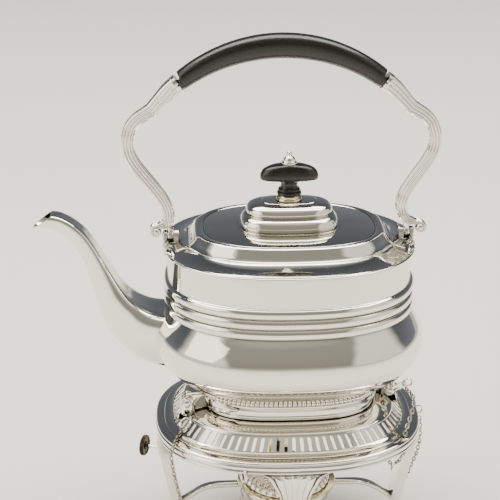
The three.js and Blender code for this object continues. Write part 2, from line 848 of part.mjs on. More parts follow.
function leaned(geometry) {
  const copy = geometry.clone();
  const position = copy.attributes.position;
  for (let index = 0; index < position.count; index += 1) {
    position.setX(index, position.getX(index) + leanAt(position.getZ(index)));
  }
  return copy;
}

const dowel = dowelRod(dowelRadius, dowelHalf);
addPiece('handle_arm_right', leaned(straightArm), 'silver');
addPiece('handle_arm_left', leaned(mirrorX(straightArm)), 'silver');
addPiece('handle_grip', leaned(straightGrip), 'ebony');
addPiece('grip_dowel_right', leaned(dowel), 'silver');
addPiece('grip_dowel_left', leaned(mirrorX(dowel)), 'silver');

// Lugs on the shoulder that hold the handle pins

const innerEar = 3.4;
const outerEar = 2.2;
const lugHalf = 4.2;
const lugDrop = 8.2;
const earRise = 3.2;
const pinOvershoot = 0.4;
const lugBaseTop = pivotHeight - eyeRadius - fitGap;
const earInnerTo = pivotReach - eyeHalf - fitGap;
const earInnerFrom = earInnerTo - innerEar;
const earOuterFrom = pivotReach + eyeHalf + fitGap;
const earOuterTo = earOuterFrom + outerEar;
// Rows of half width and height above the pivot
const earShares = [[1, -2.2], [1, -1.06], [0.81, 0], [0.62, 0.625], [0.286, 1]];

function crossSection(from, to, half, z) {
  return [[from, -half], [to, -half], [to, half], [from, half]].map(([x, y]) => new THREE.Vector3(x, y, z));
}

function lugEar(from, to) {
  return loft(earShares.map(([halfShare, riseShare]) => (
    crossSection(from, to, halfShare * lugHalf, pivotHeight + riseShare * earRise)
  )));
}

const lugBase = loft([pivotHeight - lugDrop, lugBaseTop].map((z) => (
  crossSection(earInnerFrom, earOuterTo, lugHalf, z)
)));
const lugGap = loft([lugBaseTop, pivotHeight + eyeRadius + overrun].map((z) => (
  crossSection(earInnerTo, earOuterFrom, lugHalf + overrun, z)
)));
const lugWithBore = cut(
  fuse(lugBase, lugEar(earInnerFrom, earInnerTo), lugEar(earOuterFrom, earOuterTo)),
  filledShoulder,
  alongX(earInnerFrom - overrun, earOuterTo + overrun, handlePinRadius + seatGap),
  lugGap,
);
addPiece('handle_lug_right', lugWithBore, 'silver');
addPiece('handle_lug_left', mirrorX(lugWithBore), 'silver');
const handlePin = alongX(earInnerFrom - pinOvershoot, earOuterTo + pinOvershoot, handlePinRadius, pinCount);
addPiece('handle_pivot_right', handlePin, 'silver');
addPiece('handle_pivot_left', mirrorX(handlePin), 'silver');

// Stand rim and the pierced gallery on it

const rimHoleRadius = 1.8;
const rimShares = [
  [0.837, 0, 2.4],
  [0.98, 0, 2.4],
  [0.996, 0.165, 2.4],
  [1, 0.424, 2.4],
  [0.998, 0.776, 2.4],
  [0.978, 1, 2.4],
  [0.837, 1, 2.4],
];
const galleryOuterShares = [
  [0.913, 0, 2.5],
  [0.87, 0.109, 2.6],
  [0.783, 0.688, 2.7],
  [0.739, 0.891, 2.75],
  [0.663, 1, 2.9],
];
const galleryInnerShares = [
  [0.598, 1, 2.9],
  [0.598, 0.92, 2.9],
  [0.724, 0.812, 2.8],
  [0.767, 0.645, 2.7],
  [0.857, 0.051, 2.6],
  [0.857, 0, 2.5],
];
// Where the right chain drops through the rim
const rimHole = [76.1, -46.6];
const rimDrill = rod(
  new THREE.Vector3(...rimHole, rimBottom - overrun),
  new THREE.Vector3(...rimHole, rimTop + overrun),
  rimHoleRadius,
);
const rim = ovalLoft(sharedOvals(rimShares, rimReach, rimBottom, rimDepth), { joined: true });
addPiece('stand_rim', cut(rim, rimDrill), 'silver');
const galleryOutside = sharedOvals(galleryOuterShares, rimReach, rimTop, galleryRise);
const galleryInside = sharedOvals(galleryInnerShares, rimReach, rimTop, galleryRise);
const slotCount = 76;
const slotWidth = 2.2;
const slotMargin = 0.66;
const slotDepth = 3;
const slotLow = galleryOutside[1];
const slotHigh = galleryOutside[2];
const finePath = ovalRing(slotLow, slotCount * 16);

// Angles that divide the slotted wall into even lengths.
function evenAngles(count, offsetShare) {
  const lengths = [0];
  finePath.forEach((point, index) => {
    lengths.push(lengths[index] + point.distanceTo(finePath[(index + 1) % finePath.length]));
  });
  return Array.from({ length: count }, (_, index) => {
    const wanted = ((index + offsetShare) / count) * lengths.at(-1);
    return (lengths.findIndex((length) => length >= wanted) / finePath.length) * FULL_TURN;
  });
}

const slotTools = evenAngles(slotCount, 0.5).map((angle) => {
  const low = ovalPoint(slotLow, angle);
  const high = ovalPoint(slotHigh, angle);
  const sideways = ovalPoint(slotLow, angle + 0.01).sub(low).normalize();
  const upward = high.clone().sub(low).projectOnPlane(sideways).normalize();
  const outward = new THREE.Vector3().crossVectors(sideways, upward).normalize();
  const spread = low.distanceTo(high) / 2 - slotMargin;
  const corners = [[-1, -1], [1, -1], [1, 1], [-1, 1]];
  return toSolid(loft([-slotDepth, slotDepth].map((depth) => corners.map(([sideShare, upShare]) => (
    low.clone().lerp(high, 0.5)
      .addScaledVector(outward, depth)
      .addScaledVector(sideways, (sideShare * slotWidth) / 2)
      .addScaledVector(upward, upShare * spread)
  )))));
});
const galleryAngles = evenAngles(slotCount / 2, 0);

function galleryRings(stations) {
  return stations.map((station) => galleryAngles.map((angle) => ovalPoint(station, angle)));
}

const plainGallery = toSolid(loft(galleryRings([...galleryOutside, ...galleryInside]), true));
addPiece('gallery', fromSolid(plainGallery.subtract(wasm.Manifold.union(slotTools))), 'silver');
const filledGallery = loft(galleryRings(grown([
  ...bigOvals([[rimReach, rimBottom - overrun, 2.4], [rimReach, rimTop, 2.4]]),
  ...galleryOutside,
])));

// Brackets on the gallery, lugs on the kettle foot and the loose pins that join them

const hingePinRadius = 2;
const knuckleRadius = 4.6;
const knuckleWidth = 4;
const earWidth = 3;
const bracketHalf = 6.6;
const bracketDrop = 16;
const blockDrop = 6.4;
const lugArmReach = 52;
const lugArmDrop = 4.6;
const lugArmRise = 7;
const leftKnuckle = -20.2;
const rightKnuckle = 0;
const rightPinDrawn = 7.6;
const thumbGap = 0.6;
const thumbThick = 1.3;
const tipReach = 2.8;
const halfKnuckle = knuckleWidth / 2 + fitGap;
const pinBoreRadius = hingePinRadius + fitGap;

function earPlate(side, from, to) {
  const arc = arcPoints(side * hingeReach, hingeHeight, knuckleRadius, -0.25, Math.PI + 0.25, 9);
  const base = [-bracketHalf, bracketHalf].map((across) => [
    side * hingeReach + across, hingeHeight - bracketDrop,
  ]);
  return plateXZ([...arc, ...base], from, to);
}

function alongY(side, from, to, radius, count = pinCount) {
  return rod(
    new THREE.Vector3(side * hingeReach, from, hingeHeight),
    new THREE.Vector3(side * hingeReach, to, hingeHeight),
    radius,
    count,
  );
}

function bracket(side, knuckle) {
  const low = knuckle - halfKnuckle - earWidth;
  const high = knuckle + halfKnuckle + earWidth;
  const base = box(
    [side * hingeReach - bracketHalf, low, hingeHeight - bracketDrop],
    [side * hingeReach + bracketHalf, high, hingeHeight - blockDrop],
  );
  const ears = [[low, knuckle - halfKnuckle], [knuckle + halfKnuckle, high]].map(([from, to]) => (
    earPlate(side, from, to)
  ));
  return cut(fuse(base, ...ears), filledGallery, alongY(side, low - overrun, high + overrun, pinBoreRadius));
}

function kettleLug(side, knuckle) {
  const half = knuckleWidth / 2;
  const start = -side * RIGHT_ANGLE;
  const arc = arcPoints(side * hingeReach, hingeHeight, knuckleRadius, start, start + 2 * RIGHT_ANGLE, 8);
  const inner = [-lugArmDrop, lugArmRise].map((rise) => [side * lugArmReach, hingeHeight + rise]);
  const ordered = side < 0 ? inner : inner.reverse();
  const plate = plateXZ([...arc, ...ordered], knuckle - half, knuckle + half);
  const bore = alongY(side, knuckle - half - overrun, knuckle + half + overrun, pinBoreRadius);
  return cut(plate, filledFoot, filledBody, bore);
}

// A thumb-piece hangs from its pin: shares of its length, and of half its width
const thumbLength = 9.4;
const thumbHalf = 4.2;
const thumbShares = [
  [-1, -0.28], [-0.71, -0.81], [-0.38, -1], [0.38, -1], [0.71, -0.81],
  [1, -0.28], [1, 0.17], [0.57, 0.41], [-0.57, 0.41], [-1, 0.17],
];
const windowShares = [[-0.4, -0.73], [0.4, -0.73], [0.57, -0.36], [-0.57, -0.36]];

function thumbOutline(shares) {
  return shares.map(([acrossShare, downShare]) => [acrossShare * thumbHalf, downShare * thumbLength]);
}

// Thumb-piece at the head of a pin, turned about the pin by an angle from hanging straight down.
function thumbPiece(side, front, angle) {
  const place = new THREE.Matrix4().makeTranslation(side * hingeReach, front, hingeHeight)
    .multiply(new THREE.Matrix4().makeRotationY(angle));
  const plate = plateXZ(thumbOutline(thumbShares), 0, thumbThick);
  const window = plateXZ(thumbOutline(windowShares), -overrun, thumbThick + overrun);
  return cut(plate, window).applyMatrix4(place);
}

const leftThumbFront = leftKnuckle - halfKnuckle - earWidth - thumbGap - thumbThick;
const leftTip = leftKnuckle + halfKnuckle + tipReach;
addPiece('stand_bracket_left', bracket(-1, leftKnuckle), 'silver');
addPiece('kettle_lug_left', kettleLug(-1, leftKnuckle), 'silver');
addPiece('hinge_pin_left', fuse(
  thumbPiece(-1, leftThumbFront, 0),
  alongY(-1, leftThumbFront + fitGap, leftTip, hingePinRadius),
), 'silver');
const rightThumbFront = rightKnuckle - halfKnuckle - earWidth - thumbGap - thumbThick - rightPinDrawn;
const rightTip = rightKnuckle - halfKnuckle + seatGap;
const rightThumbTurn = -2.247;
addPiece('stand_bracket_right', bracket(1, rightKnuckle), 'silver');
addPiece('kettle_lug_right', kettleLug(1, rightKnuckle), 'silver');
addPiece('hinge_pin_right', fuse(
  thumbPiece(1, rightThumbFront, rightThumbTurn),
  alongY(1, rightThumbFront + fitGap, rightTip, hingePinRadius),
), 'silver');

// Rings on the thumb-pieces, and the chains that keep the pins with the stand

const ringWireRadius = 0.7;
const leftRingRadius = 4.5;
const leftRingOffset = [-1.2, -5.2, -11.4];
const rightRingRadius = 3.2;
const rightRingOffset = [11.6, -0.7, 6.9];

function pinRing(side, thumbFront, [x, y, z], radius, normal) {
  const centre = new THREE.Vector3(side * hingeReach + x, thumbFront + y, hingeHeight + z);
  return ringWire(centre, radius, ringWireRadius, normal);
}

addPiece('pin_ring_left', pinRing(
  -1, leftThumbFront, leftRingOffset, leftRingRadius, new THREE.Vector3(-0.9, -0.5, 1),
), 'silver');
addPiece('pin_ring_right', pinRing(
  1, rightThumbFront, rightRingOffset, rightRingRadius, new THREE.Vector3(0, 1, 0.4),
), 'silver');

const chainRadius = 1.1;
const chainSteps = 26;
const leftChain = [
  [-74.2, -35, 95.2], [-76.6, -39.4, 94.2], [-78.2, -46, 94.2], [-79.2, -51.5, 94], [-80.8, -54, 91],
  [-80.8, -54.6, 84], [-78.6, -55, 70], [-74.8, -57, 55], [-68, -59.5, 40], [-58, -63, 31.5],
  [-48, -67.5, 33.5], [-41, -72.5, 45], [-36.8, -76.6, 60], [-35, -76.4, 70], [-34.2, -73.4, 76.5],
];
const rightChain = [
  [81.4, -14.6, 113.5], [83.6, -19.6, 112.4], [84.9, -24.9, 110.9], [83.5, -30.3, 106.9],
  [80.8, -35.8, 102.1], [78.1, -41.2, 98.4], [76.3, -45.6, 95.8], [76.1, -46.6, 92], [76.1, -46.6, 88],
  [76.1, -46.6, 84], [76, -45.8, 80.6], [75.5, -36, 79.6], [75, -20, 79.6], [75, 2, 79], [74.6, 12, 60],
  [74.4, 12, 45.3], [77.1, 14, 39.2], [80.3, 14, 30], [84, 13, 25], [88.1, 12, 30.7], [92.1, 10, 43.5],
  [94.2, 6, 54.3], [95.4, 5, 64.7], [95.4, 6, 75.6], [94.6, 6, 81.6],
];

function chain(places) {
  const points = places.map(([x, y, z]) => new THREE.Vector3(x, y, z));
  return wire(smoothPoints(points, chainSteps + places.length), chainRadius, 6);
}

addPiece('chain_left', chain(leftChain), 'silver');
addPiece('chain_right', chain(rightChain), 'silver');
const stapleWire = 0.8;
const stapleRadius = 4.6;
const smallStapleRadius = 3.2;
const leftStaple = [-34, -72.6, 82.4];
const rightStaple = [93.4, 6, 87];
const filledRim = ovalLoft(grown(bigOvals([
  [rimReach, rimBottom - fitGap, 2.4],
  [rimReach, rimTop + fitGap, 2.4],
])));

function staple(centre, radius, normal) {
  const loop = ringWire(new THREE.Vector3(...centre), radius, stapleWire, new THREE.Vector3(...normal));
  return cut(loop, filledRim);
}

addPiece('chain_staple_left', staple(leftStaple, stapleRadius, [1, 0.4, 0]), 'silver');
addPiece('chain_staple_right', staple(rightStaple, smallStapleRadius, [0, 1, 0.2]), 'silver');

// Legs: fluted fans under the rim that narrow, lean in and sweep out to the feet

const legHeadHalf = 25;
const legThick = 6.6;
const fluteDepth = 0.9;
const fluteSteps = 12;
const headShareOfHeight = 0.714;
// Rows of reach, height, half width and thickness
const legShares = [
  [0.983, 1, 1, 1],
  [0.991, 0.969, 0.744, 1],
  [0.989, 0.893, 0.592, 0.97],
  [0.978, 0.821, 0.472, 0.97],
  [0.961, 0.732, 0.392, 0.97],
  [0.933, 0.571, 0.372, 0.97],
  [0.902, 0.405, 0.36, 0.97],
  [0.88, 0.25, 0.368, 0.97],
  [0.896, 0.148, 0.392, 0.909],
  [0.952, 0.079, 0.424, 0.758],
];

function rimDrop(tangential, isSide) {
  const half = isSide ? rimReach - ovalDifference : rimReach;
  const reach = isSide ? rimReach : rimReach - ovalDifference;
  return reach * (1 - (1 - (Math.abs(tangential) / half) ** 2.4) ** (1 / 2.4));
}

function legGeometry(isSide, extraDepth = 0) {
  const inwardShift = isSide ? 0 : ovalDifference;
  const legPath = legShares.map(([reachShare, riseShare, halfShare, thickShare]) => [
    reachShare * rimReach, riseShare * rimBottom, halfShare * legHeadHalf, thickShare * legThick,
  ]);
  return loft(legPath.map(([reach, z, half, thick], index) => {
    const before = legPath[Math.max(index - 1, 0)];
    const after = legPath[Math.min(index + 1, legPath.length - 1)];
    const along = new THREE.Vector2(after[0] - before[0], after[1] - before[1]).normalize();
    const inward = index === 0 ? new THREE.Vector2(-1, 0) : new THREE.Vector2(along.y, -along.x);
    const headLow = headShareOfHeight * rimBottom;
    const headShare = Math.max(0, (z - headLow) / (rimBottom - headLow));
    const place = (tangential, depth) => new THREE.Vector3(
      reach - inwardShift + inward.x * depth - headShare * rimDrop(tangential, isSide),
      tangential,
      z + inward.y * depth,
    );
    const outer = Array.from({ length: fluteSteps + 1 }, (_, step) => {
      const share = (step / fluteSteps) * 2 - 1;
      return place(share * half, step % 2 ? 0 : fluteDepth);
    });
    const inner = [1, 0, -1].map((share) => place(share * half, thick + extraDepth));
    return [...outer, ...inner];
  }));
}

const legTurns = { right: 0, back: RIGHT_ANGLE, left: Math.PI, front: -RIGHT_ANGLE };
const footHalfLength = 12;
const footHalfWidth = 13;
const footHeight = 5;
const footShares = [[0.917, 0.923, 0, 2.4], [1, 1, 0.32, 2.4], [0.8, 0.877, 1, 2.4]];
const footStations = smallOvals(footShares, footHalfLength, footHalfWidth, 0, footHeight);
Object.entries(legTurns).forEach(([side, turn]) => {
  const isSide = side === 'left' || side === 'right';
  const reach = isSide ? rimReach : rimReach - ovalDifference;
  const place = (stations) => ovalLoft(stations, { count: smallCount }).translate(reach, 0, 0);
  addPiece(`foot_${side}`, turned(place(footStations), turn), 'silver');
  const standing = cut(legGeometry(isSide), place(grown(footStations, fitGap, fitGap)));
  addPiece(`leg_${side}`, turned(standing, turn), 'silver');
});

// Burner frame: a ring carried by an arm from each leg

const cupRadius = 29;
const burnerRingTop = 37;
const burnerRingDepth = 5;
const ringWall = 3.3;
const ringBulge = 0.4;
const frameArmInset = 12;
const frameArmTrim = 2.4;
const frameArmReach = rimReach - frameArmInset;
const frameArmEnd = frameArmReach - frameArmTrim;
const frameArmWidth = 3;
const frameArmDepth = 7;
const frameArmHalf = 12;
const burnerRingInner = cupRadius + fitGap;
const frameArmShares = [
  [1, 0.581],
  [0.925, 0.622],
  [0.85, 0.73],
  [0.75, 0.865],
  [0.65, 0.924],
  [0.55, 0.935],
  [0.45, 0.935],
  [0.383, 0.935],
];
const frameRing = roundLoft([
  [burnerRingInner, burnerRingTop - burnerRingDepth],
  [burnerRingInner + ringWall, burnerRingTop - burnerRingDepth],
  [burnerRingInner + ringWall + ringBulge, burnerRingTop - burnerRingDepth / 2],
  [burnerRingInner + ringWall, burnerRingTop],
  [burnerRingInner, burnerRingTop],
], { joined: true, count: 28 });

function frameArmGeometry(isSide) {
  const shift = isSide ? 0 : ovalDifference;
  const innermost = burnerRingInner + ringWall / 2;
  const path = frameArmShares.map(([reachShare, riseShare]) => [
    Math.max(reachShare * frameArmReach - shift, innermost),
    riseShare * burnerRingTop,
    frameArmWidth,
    frameArmDepth,
  ]);
  return loft(strapRings(path.filter(([reach], index) => index === 0 || reach < path[index - 1][0])));
}

const frameArms = Object.entries(legTurns).map(([side, turn]) => {
  const isSide = side === 'left' || side === 'right';
  const end = isSide ? frameArmEnd : frameArmEnd - ovalDifference;
  const legTrim = box([end, -frameArmHalf, 0], [rimReach, frameArmHalf, burnerRingTop]);
  return turned(cut(frameArmGeometry(isSide), legGeometry(isSide, fitGap), legTrim), turn);
});
const cupPassage = roundLoft([
  [burnerRingInner, 0],
  [burnerRingInner, burnerRingTop + overrun],
], { count: 28 });
addPiece('burner_frame', cut(fuse(frameRing, ...frameArms), cupPassage), 'silver');

// Burner: a cup in the ring, a domed cover, and a wick raised by a wheel on a long spindle

const cupBottom = 12;
const coverRise = 8.1;
const coverBottomShare = 1.056;
const cupRise = burnerRingTop - cupBottom;
const coverBottom = cupBottom + coverBottomShare * cupRise;
const coverTop = coverBottom + coverRise;
const cupShares = [
  [0.021, 0],
  [0.483, 0.016],
  [0.793, 0.2],
  [0.952, 0.48],
  [1, 0.76],
  [1, 1],
  [1.186, 1],
  [1.2, 1.056],
  [1.041, 1.056],
  [0.959, 0.976],
  [0.952, 0.76],
  [0.903, 0.496],
  [0.759, 0.256],
  [0.469, 0.072],
  [0.021, 0.056],
];
const coverShares = [
  [1.034, 0],
  [1.041, 0.198],
  [0.931, 0.642],
  [0.69, 0.914],
  [0.414, 1],
  [0.255, 1],
  [0.255, 0.852],
  [0.414, 0.852],
  [0.676, 0.765],
  [0.897, 0.519],
  [0.993, 0],
];
addPiece('reservoir', roundLoft(sharedRounds(cupShares, cupRadius, cupBottom, cupRise), {
  count: 28,
}), 'silver');
addPiece('burner_top', roundLoft(sharedRounds(coverShares, cupRadius, coverBottom, coverRise), {
  joined: true, count: 28,
}), 'silver');

const wickRadius = 4.2;
const wickTopRadius = 3.2;
const wickBottom = 22;
const wickShow = 1.4;
const wickBevel = 1;
const tubeRadius = 6.6;
const tubeRise = 11.5;
const tubeDrop = 4.5;
const tubeRootRadius = 6.9;
const collarRadius = 9.4;
const collarThick = 1.1;
const collarSlope = 1.6;
const pinionRadius = 1.9;
const pinionHalf = 2.2;
const spindleRadius = 1.1;
const spindleRise = 3.5;
const housingRadius = 3.2;
const housingBack = 3.6;
const housingFront = 5.4;
const wheelRadius = 7.6;
const wheelThick = 3;
const wheelCentre = new THREE.Vector2(-98.5, 38);
const tubeBore = wickRadius + fitGap;
const spindleLength = wheelCentre.length();
const spindleDirection = new THREE.Vector3(wheelCentre.x, wheelCentre.y, 0).normalize();
const spindleSide = new THREE.Vector3(-spindleDirection.y, spindleDirection.x, 0);
const wheelFrom = spindleLength - wheelThick / 2;
const wheelTo = spindleLength + wheelThick / 2;

function onSpindle(distance) {
  return new THREE.Vector3(0, 0, coverTop + spindleRise)
    .addScaledVector(spindleSide, wickRadius + pinionRadius + fitGap)
    .addScaledVector(spindleDirection, distance);
}

addPiece('wick_tube', cut(
  fuse(
    roundLoft([
      [collarRadius, coverTop],
      [collarRadius, coverTop + collarThick],
      [tubeRadius, coverTop + collarThick + collarSlope],
      [tubeRadius, coverTop + tubeRise],
    ]),
    roundLoft([[tubeRootRadius, coverTop - tubeDrop], [tubeRootRadius, coverTop + collarThick + fitGap]]),
    rod(onSpindle(-housingBack), onSpindle(housingFront), housingRadius),
  ),
  roundLoft([
    [tubeBore, coverTop - tubeDrop - overrun],
    [tubeBore, coverTop + tubeRise + overrun],
  ], { count: 16 }),
  rod(onSpindle(-pinionHalf - fitGap), onSpindle(pinionHalf), pinionRadius + fitGap),
  rod(onSpindle(0), onSpindle(housingFront + overrun), spindleRadius + fitGap, 10),
), 'silver');
addPiece('wick', roundLoft([
  [wickRadius, wickBottom],
  [wickRadius, coverTop + tubeRise + wickShow],
  [wickTopRadius, coverTop + tubeRise + wickShow + wickBevel],
], { count: 16 }), 'cotton');
addPiece('winder_spindle', fuse(
  rod(onSpindle(-pinionHalf), onSpindle(pinionHalf - fitGap), pinionRadius, 10),
  rod(onSpindle(0), onSpindle(wheelTo), spindleRadius, 10),
), 'silver');
addPiece('winder_wheel', cut(
  rod(onSpindle(wheelFrom), onSpindle(wheelTo), wheelRadius, smallCount),
  rod(onSpindle(wheelFrom - overrun), onSpindle(wheelTo + overrun), spindleRadius + seatGap, 10),
), 'wheel');

// Origin at the middle of the bottom of the whole object

const bounds = new THREE.Box3().setFromObject(group);
const middle = bounds.getCenter(new THREE.Vector3());
group.children.forEach((mesh) => {
  mesh.geometry.translate(-middle.x, -middle.y, -bounds.min.z);
});

export default group;
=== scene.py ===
"""Dresses a packed spirit kettle on its stand in polished silver, ebony and cotton."""

import logging
import math
from collections.abc import Callable, Iterable, Sequence
from dataclasses import dataclass, field
from enum import Enum

import bmesh
import bpy
from bmesh.types import BMesh, BMEdge, BMVert
from mathutils import Matrix, Vector


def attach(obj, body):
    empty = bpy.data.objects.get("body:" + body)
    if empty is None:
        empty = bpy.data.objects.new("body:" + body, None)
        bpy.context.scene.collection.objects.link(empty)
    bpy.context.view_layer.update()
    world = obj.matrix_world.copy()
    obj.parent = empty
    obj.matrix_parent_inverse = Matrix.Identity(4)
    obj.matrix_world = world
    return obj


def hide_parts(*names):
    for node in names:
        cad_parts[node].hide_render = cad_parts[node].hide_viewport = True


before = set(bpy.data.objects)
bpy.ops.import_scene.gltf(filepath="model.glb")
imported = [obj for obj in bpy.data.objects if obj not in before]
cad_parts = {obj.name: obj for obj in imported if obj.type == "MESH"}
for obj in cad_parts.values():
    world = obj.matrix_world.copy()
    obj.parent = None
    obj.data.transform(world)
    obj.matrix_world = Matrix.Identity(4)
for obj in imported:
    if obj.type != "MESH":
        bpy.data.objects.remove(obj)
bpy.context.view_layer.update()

LOG = logging.getLogger("spirit_kettle")

Station = tuple[float, float, float, float]
Place = tuple[float, float, float]
Flat = tuple[float, float]
Row = tuple[float, ...]
Stops = tuple[tuple[float, str], ...]
Socket = bpy.types.NodeSocket

MILLIMETRE = 0.001
FULL_TURN = 2 * math.pi
RIGHT_ANGLE = math.pi / 2
# The kettle's own middle lies this far along +X from the middle of the whole object, in millimetres.
AXIS_SHIFT = 32.7
# Every big oval is this much narrower than long, on each side, in millimetres.
OVAL_DIFFERENCE = 14.0
# The lid's hinge turns about this line along X, with knuckles of this radius, in millimetres.
LID_AXIS_Y = 44.8
LID_AXIS_Z = 233.7
LID_KNUCKLE = 2.0
# The handle turns about this height. The stand's hinge pins lie this far out and up, in millimetres.
PIVOT_HEIGHT = 224.4
HINGE_REACH = 70.0
HINGE_HEIGHT = 112.0
# The knuckles on these pins have this radius and lie at these places along Y, in millimetres.
KNUCKLE_RADIUS = 4.6
LEFT_KNUCKLE = -20.2
RIGHT_KNUCKLE = 0.0
# A hole in a plate has at least one corner in each turn of this size.
EYE_STEP = math.radians(12)
# Edges of a plate that turn by more than this are rounded.
SHARP_TURN = math.radians(40)
# The holes for the hinge pins of the stand have this radius, in millimetres.
PIN_BORE = 2.15


class Body(Enum):
    """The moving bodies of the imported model."""

    STAND = "stand"
    KETTLE = "kettle"
    LID = "lid"
    HANDLE = "handle"
    LEFT_PIN = "left_pin"
    RIGHT_PIN = "right_pin"
    BURNER = "burner"
    WICK = "wick"
    WINDER = "winder"


class Side(Enum):
    """The four places round the stand, by their turn from +X."""

    RIGHT = 0.0
    BACK = RIGHT_ANGLE
    LEFT = math.pi
    FRONT = -RIGHT_ANGLE

    def is_end(self) -> bool:
        """Says whether this side lies at an end of the long axis."""
        return self in (Side.RIGHT, Side.LEFT)


# Materials


def linear_colour(code: str) -> tuple[float, float, float, float]:
    """Turns an sRGB hex colour to linear.

    Args:
        code: Six hex digits after a hash sign.

    Returns:
        Red, green, blue and an alpha of one.
    """
    channels = [int(code[start:start + 2], 16) / 255 for start in (1, 3, 5)]
    red, green, blue = (
        value / 12.92 if value <= 0.04045 else ((value + 0.055) / 1.055) ** 2.4 for value in channels
    )
    return red, green, blue, 1.0


@dataclass(frozen=True)
class Nodes:
    """The nodes of a material or of the world."""

    tree: bpy.types.NodeTree

    def add(
        self,
        kind: str,
        settings: dict[str | int, object] | None = None,
        links: dict[str | int, Socket] | None = None,
    ) -> bpy.types.Node:
        """Adds a node with its settings and links.

        Args:
            kind: The node's type, after the words that all types start with.
            settings: Values by an input socket's name or number, or by the node's own property.
            links: Output sockets by the name or number of the input socket that each one feeds.

        Returns:
            The new node.
        """
        node = self.tree.nodes.new("ShaderNode" + kind)
        for name, value in (settings or {}).items():
            if isinstance(name, int) or name in node.inputs:
                node.inputs[name].default_value = value
            else:
                setattr(node, name, value)
        for name, socket in (links or {}).items():
            self.tree.links.new(socket, node.inputs[name])
        return node

    def place(self) -> Socket:
        """Gives the place on the object."""
        return self.add("TexCoord").outputs["Object"]

    def stretched(self, scale: Place) -> Socket:
        """Gives the place on the object, scaled along each axis."""
        return self.add("Mapping", {"Scale": scale}, {"Vector": self.place()}).outputs["Vector"]

    def noise(self, place: Socket, size_mm: float, detail: float, roughness: float = 0.5) -> Socket:
        """Adds a cloudy pattern.

        Args:
            place: The place that it is looked up at.
            size_mm: The size of its clouds.
            detail: How many finer layers it has.
            roughness: How strong each finer layer is.

        Returns:
            The pattern's value.
        """
        settings = {"Scale": 1 / (size_mm * MILLIMETRE), "Detail": detail, "Roughness": roughness}
        return self.add("TexNoise", settings, {"Vector": place}).outputs["Fac"]

    def remap(self, value: Socket, source: Flat, target: Flat = (0.0, 1.0), smooth: bool = False) -> Socket:
        """Maps one range of values to another, and holds it at the ends.

        Args:
            value: The value.
            source: The range that it comes from.
            target: The range that it goes to.
            smooth: Whether the ends are eased.

        Returns:
            The mapped value.
        """
        return self.add("MapRange", {
            "interpolation_type": "SMOOTHSTEP" if smooth else "LINEAR",
            "From Min": source[0], "From Max": source[1], "To Min": target[0], "To Max": target[1],
        }, {"Value": value}).outputs["Result"]

    def ramp(self, value: Socket, stops: Stops) -> Socket:
        """Colours a value.

        Args:
            value: The value.
            stops: Places from zero to one and their sRGB colours.

        Returns:
            The colour.
        """
        node = self.add("ValToRGB", None, {"Fac": value})
        elements = node.color_ramp.elements
        while len(elements) < len(stops):
            elements.new(0.5)
        for element, (place, code) in zip(elements, stops):
            element.position = place
            element.color = linear_colour(code)
        return node.outputs["Color"]

    def mix(self, share: Socket, first: Socket | str, second: Socket | str) -> Socket:
        """Mixes two colours, each a socket or a fixed sRGB colour.

        Args:
            share: How much of the second colour is taken.
            first: The first colour.
            second: The second colour.

        Returns:
            The mixed colour.
        """
        node = self.add("Mix", {"data_type": "RGBA"}, {"Factor": share})
        for slot, colour in ((6, first), (7, second)):
            if isinstance(colour, str):
                node.inputs[slot].default_value = linear_colour(colour)
            else:
                self.tree.links.new(colour, node.inputs[slot])
        return node.outputs[2]

    def bump(self, height: Socket, strength: float, depth_mm: float, under: Socket | None = None) -> Socket:
        """Turns heights to relief.

        Args:
            height: The heights, from zero to one.
            strength: How much of the relief shows.
            depth_mm: The relief's depth.
            under: The relief that this one lies on.

        Returns:
            The bent normal.
        """
        links = {"Height": height}
        if under is not None:
            links["Normal"] = under
        settings = {"Strength": strength, "Distance": depth_mm * MILLIMETRE}
        return self.add("Bump", settings, links).outputs["Normal"]

    def shade(self, settings: dict[str, object], links: dict[str, Socket] | None = None) -> None:
        """Adds the shader, with its fixed and its linked inputs, and the output."""
        shader = self.add("BsdfPrincipled", settings, links)
        self.add("OutputMaterial", None, {"Surface": shader.outputs["BSDF"]})


def open_material(name: str) -> tuple[bpy.types.Material, Nodes]:
    """Starts a material without nodes.

    Args:
        name: The material's name.

    Returns:
        The material and its nodes.
    """
    material = bpy.data.materials.new(name)
    material.use_nodes = True
    material.node_tree.nodes.clear()
    return material, Nodes(material.node_tree)


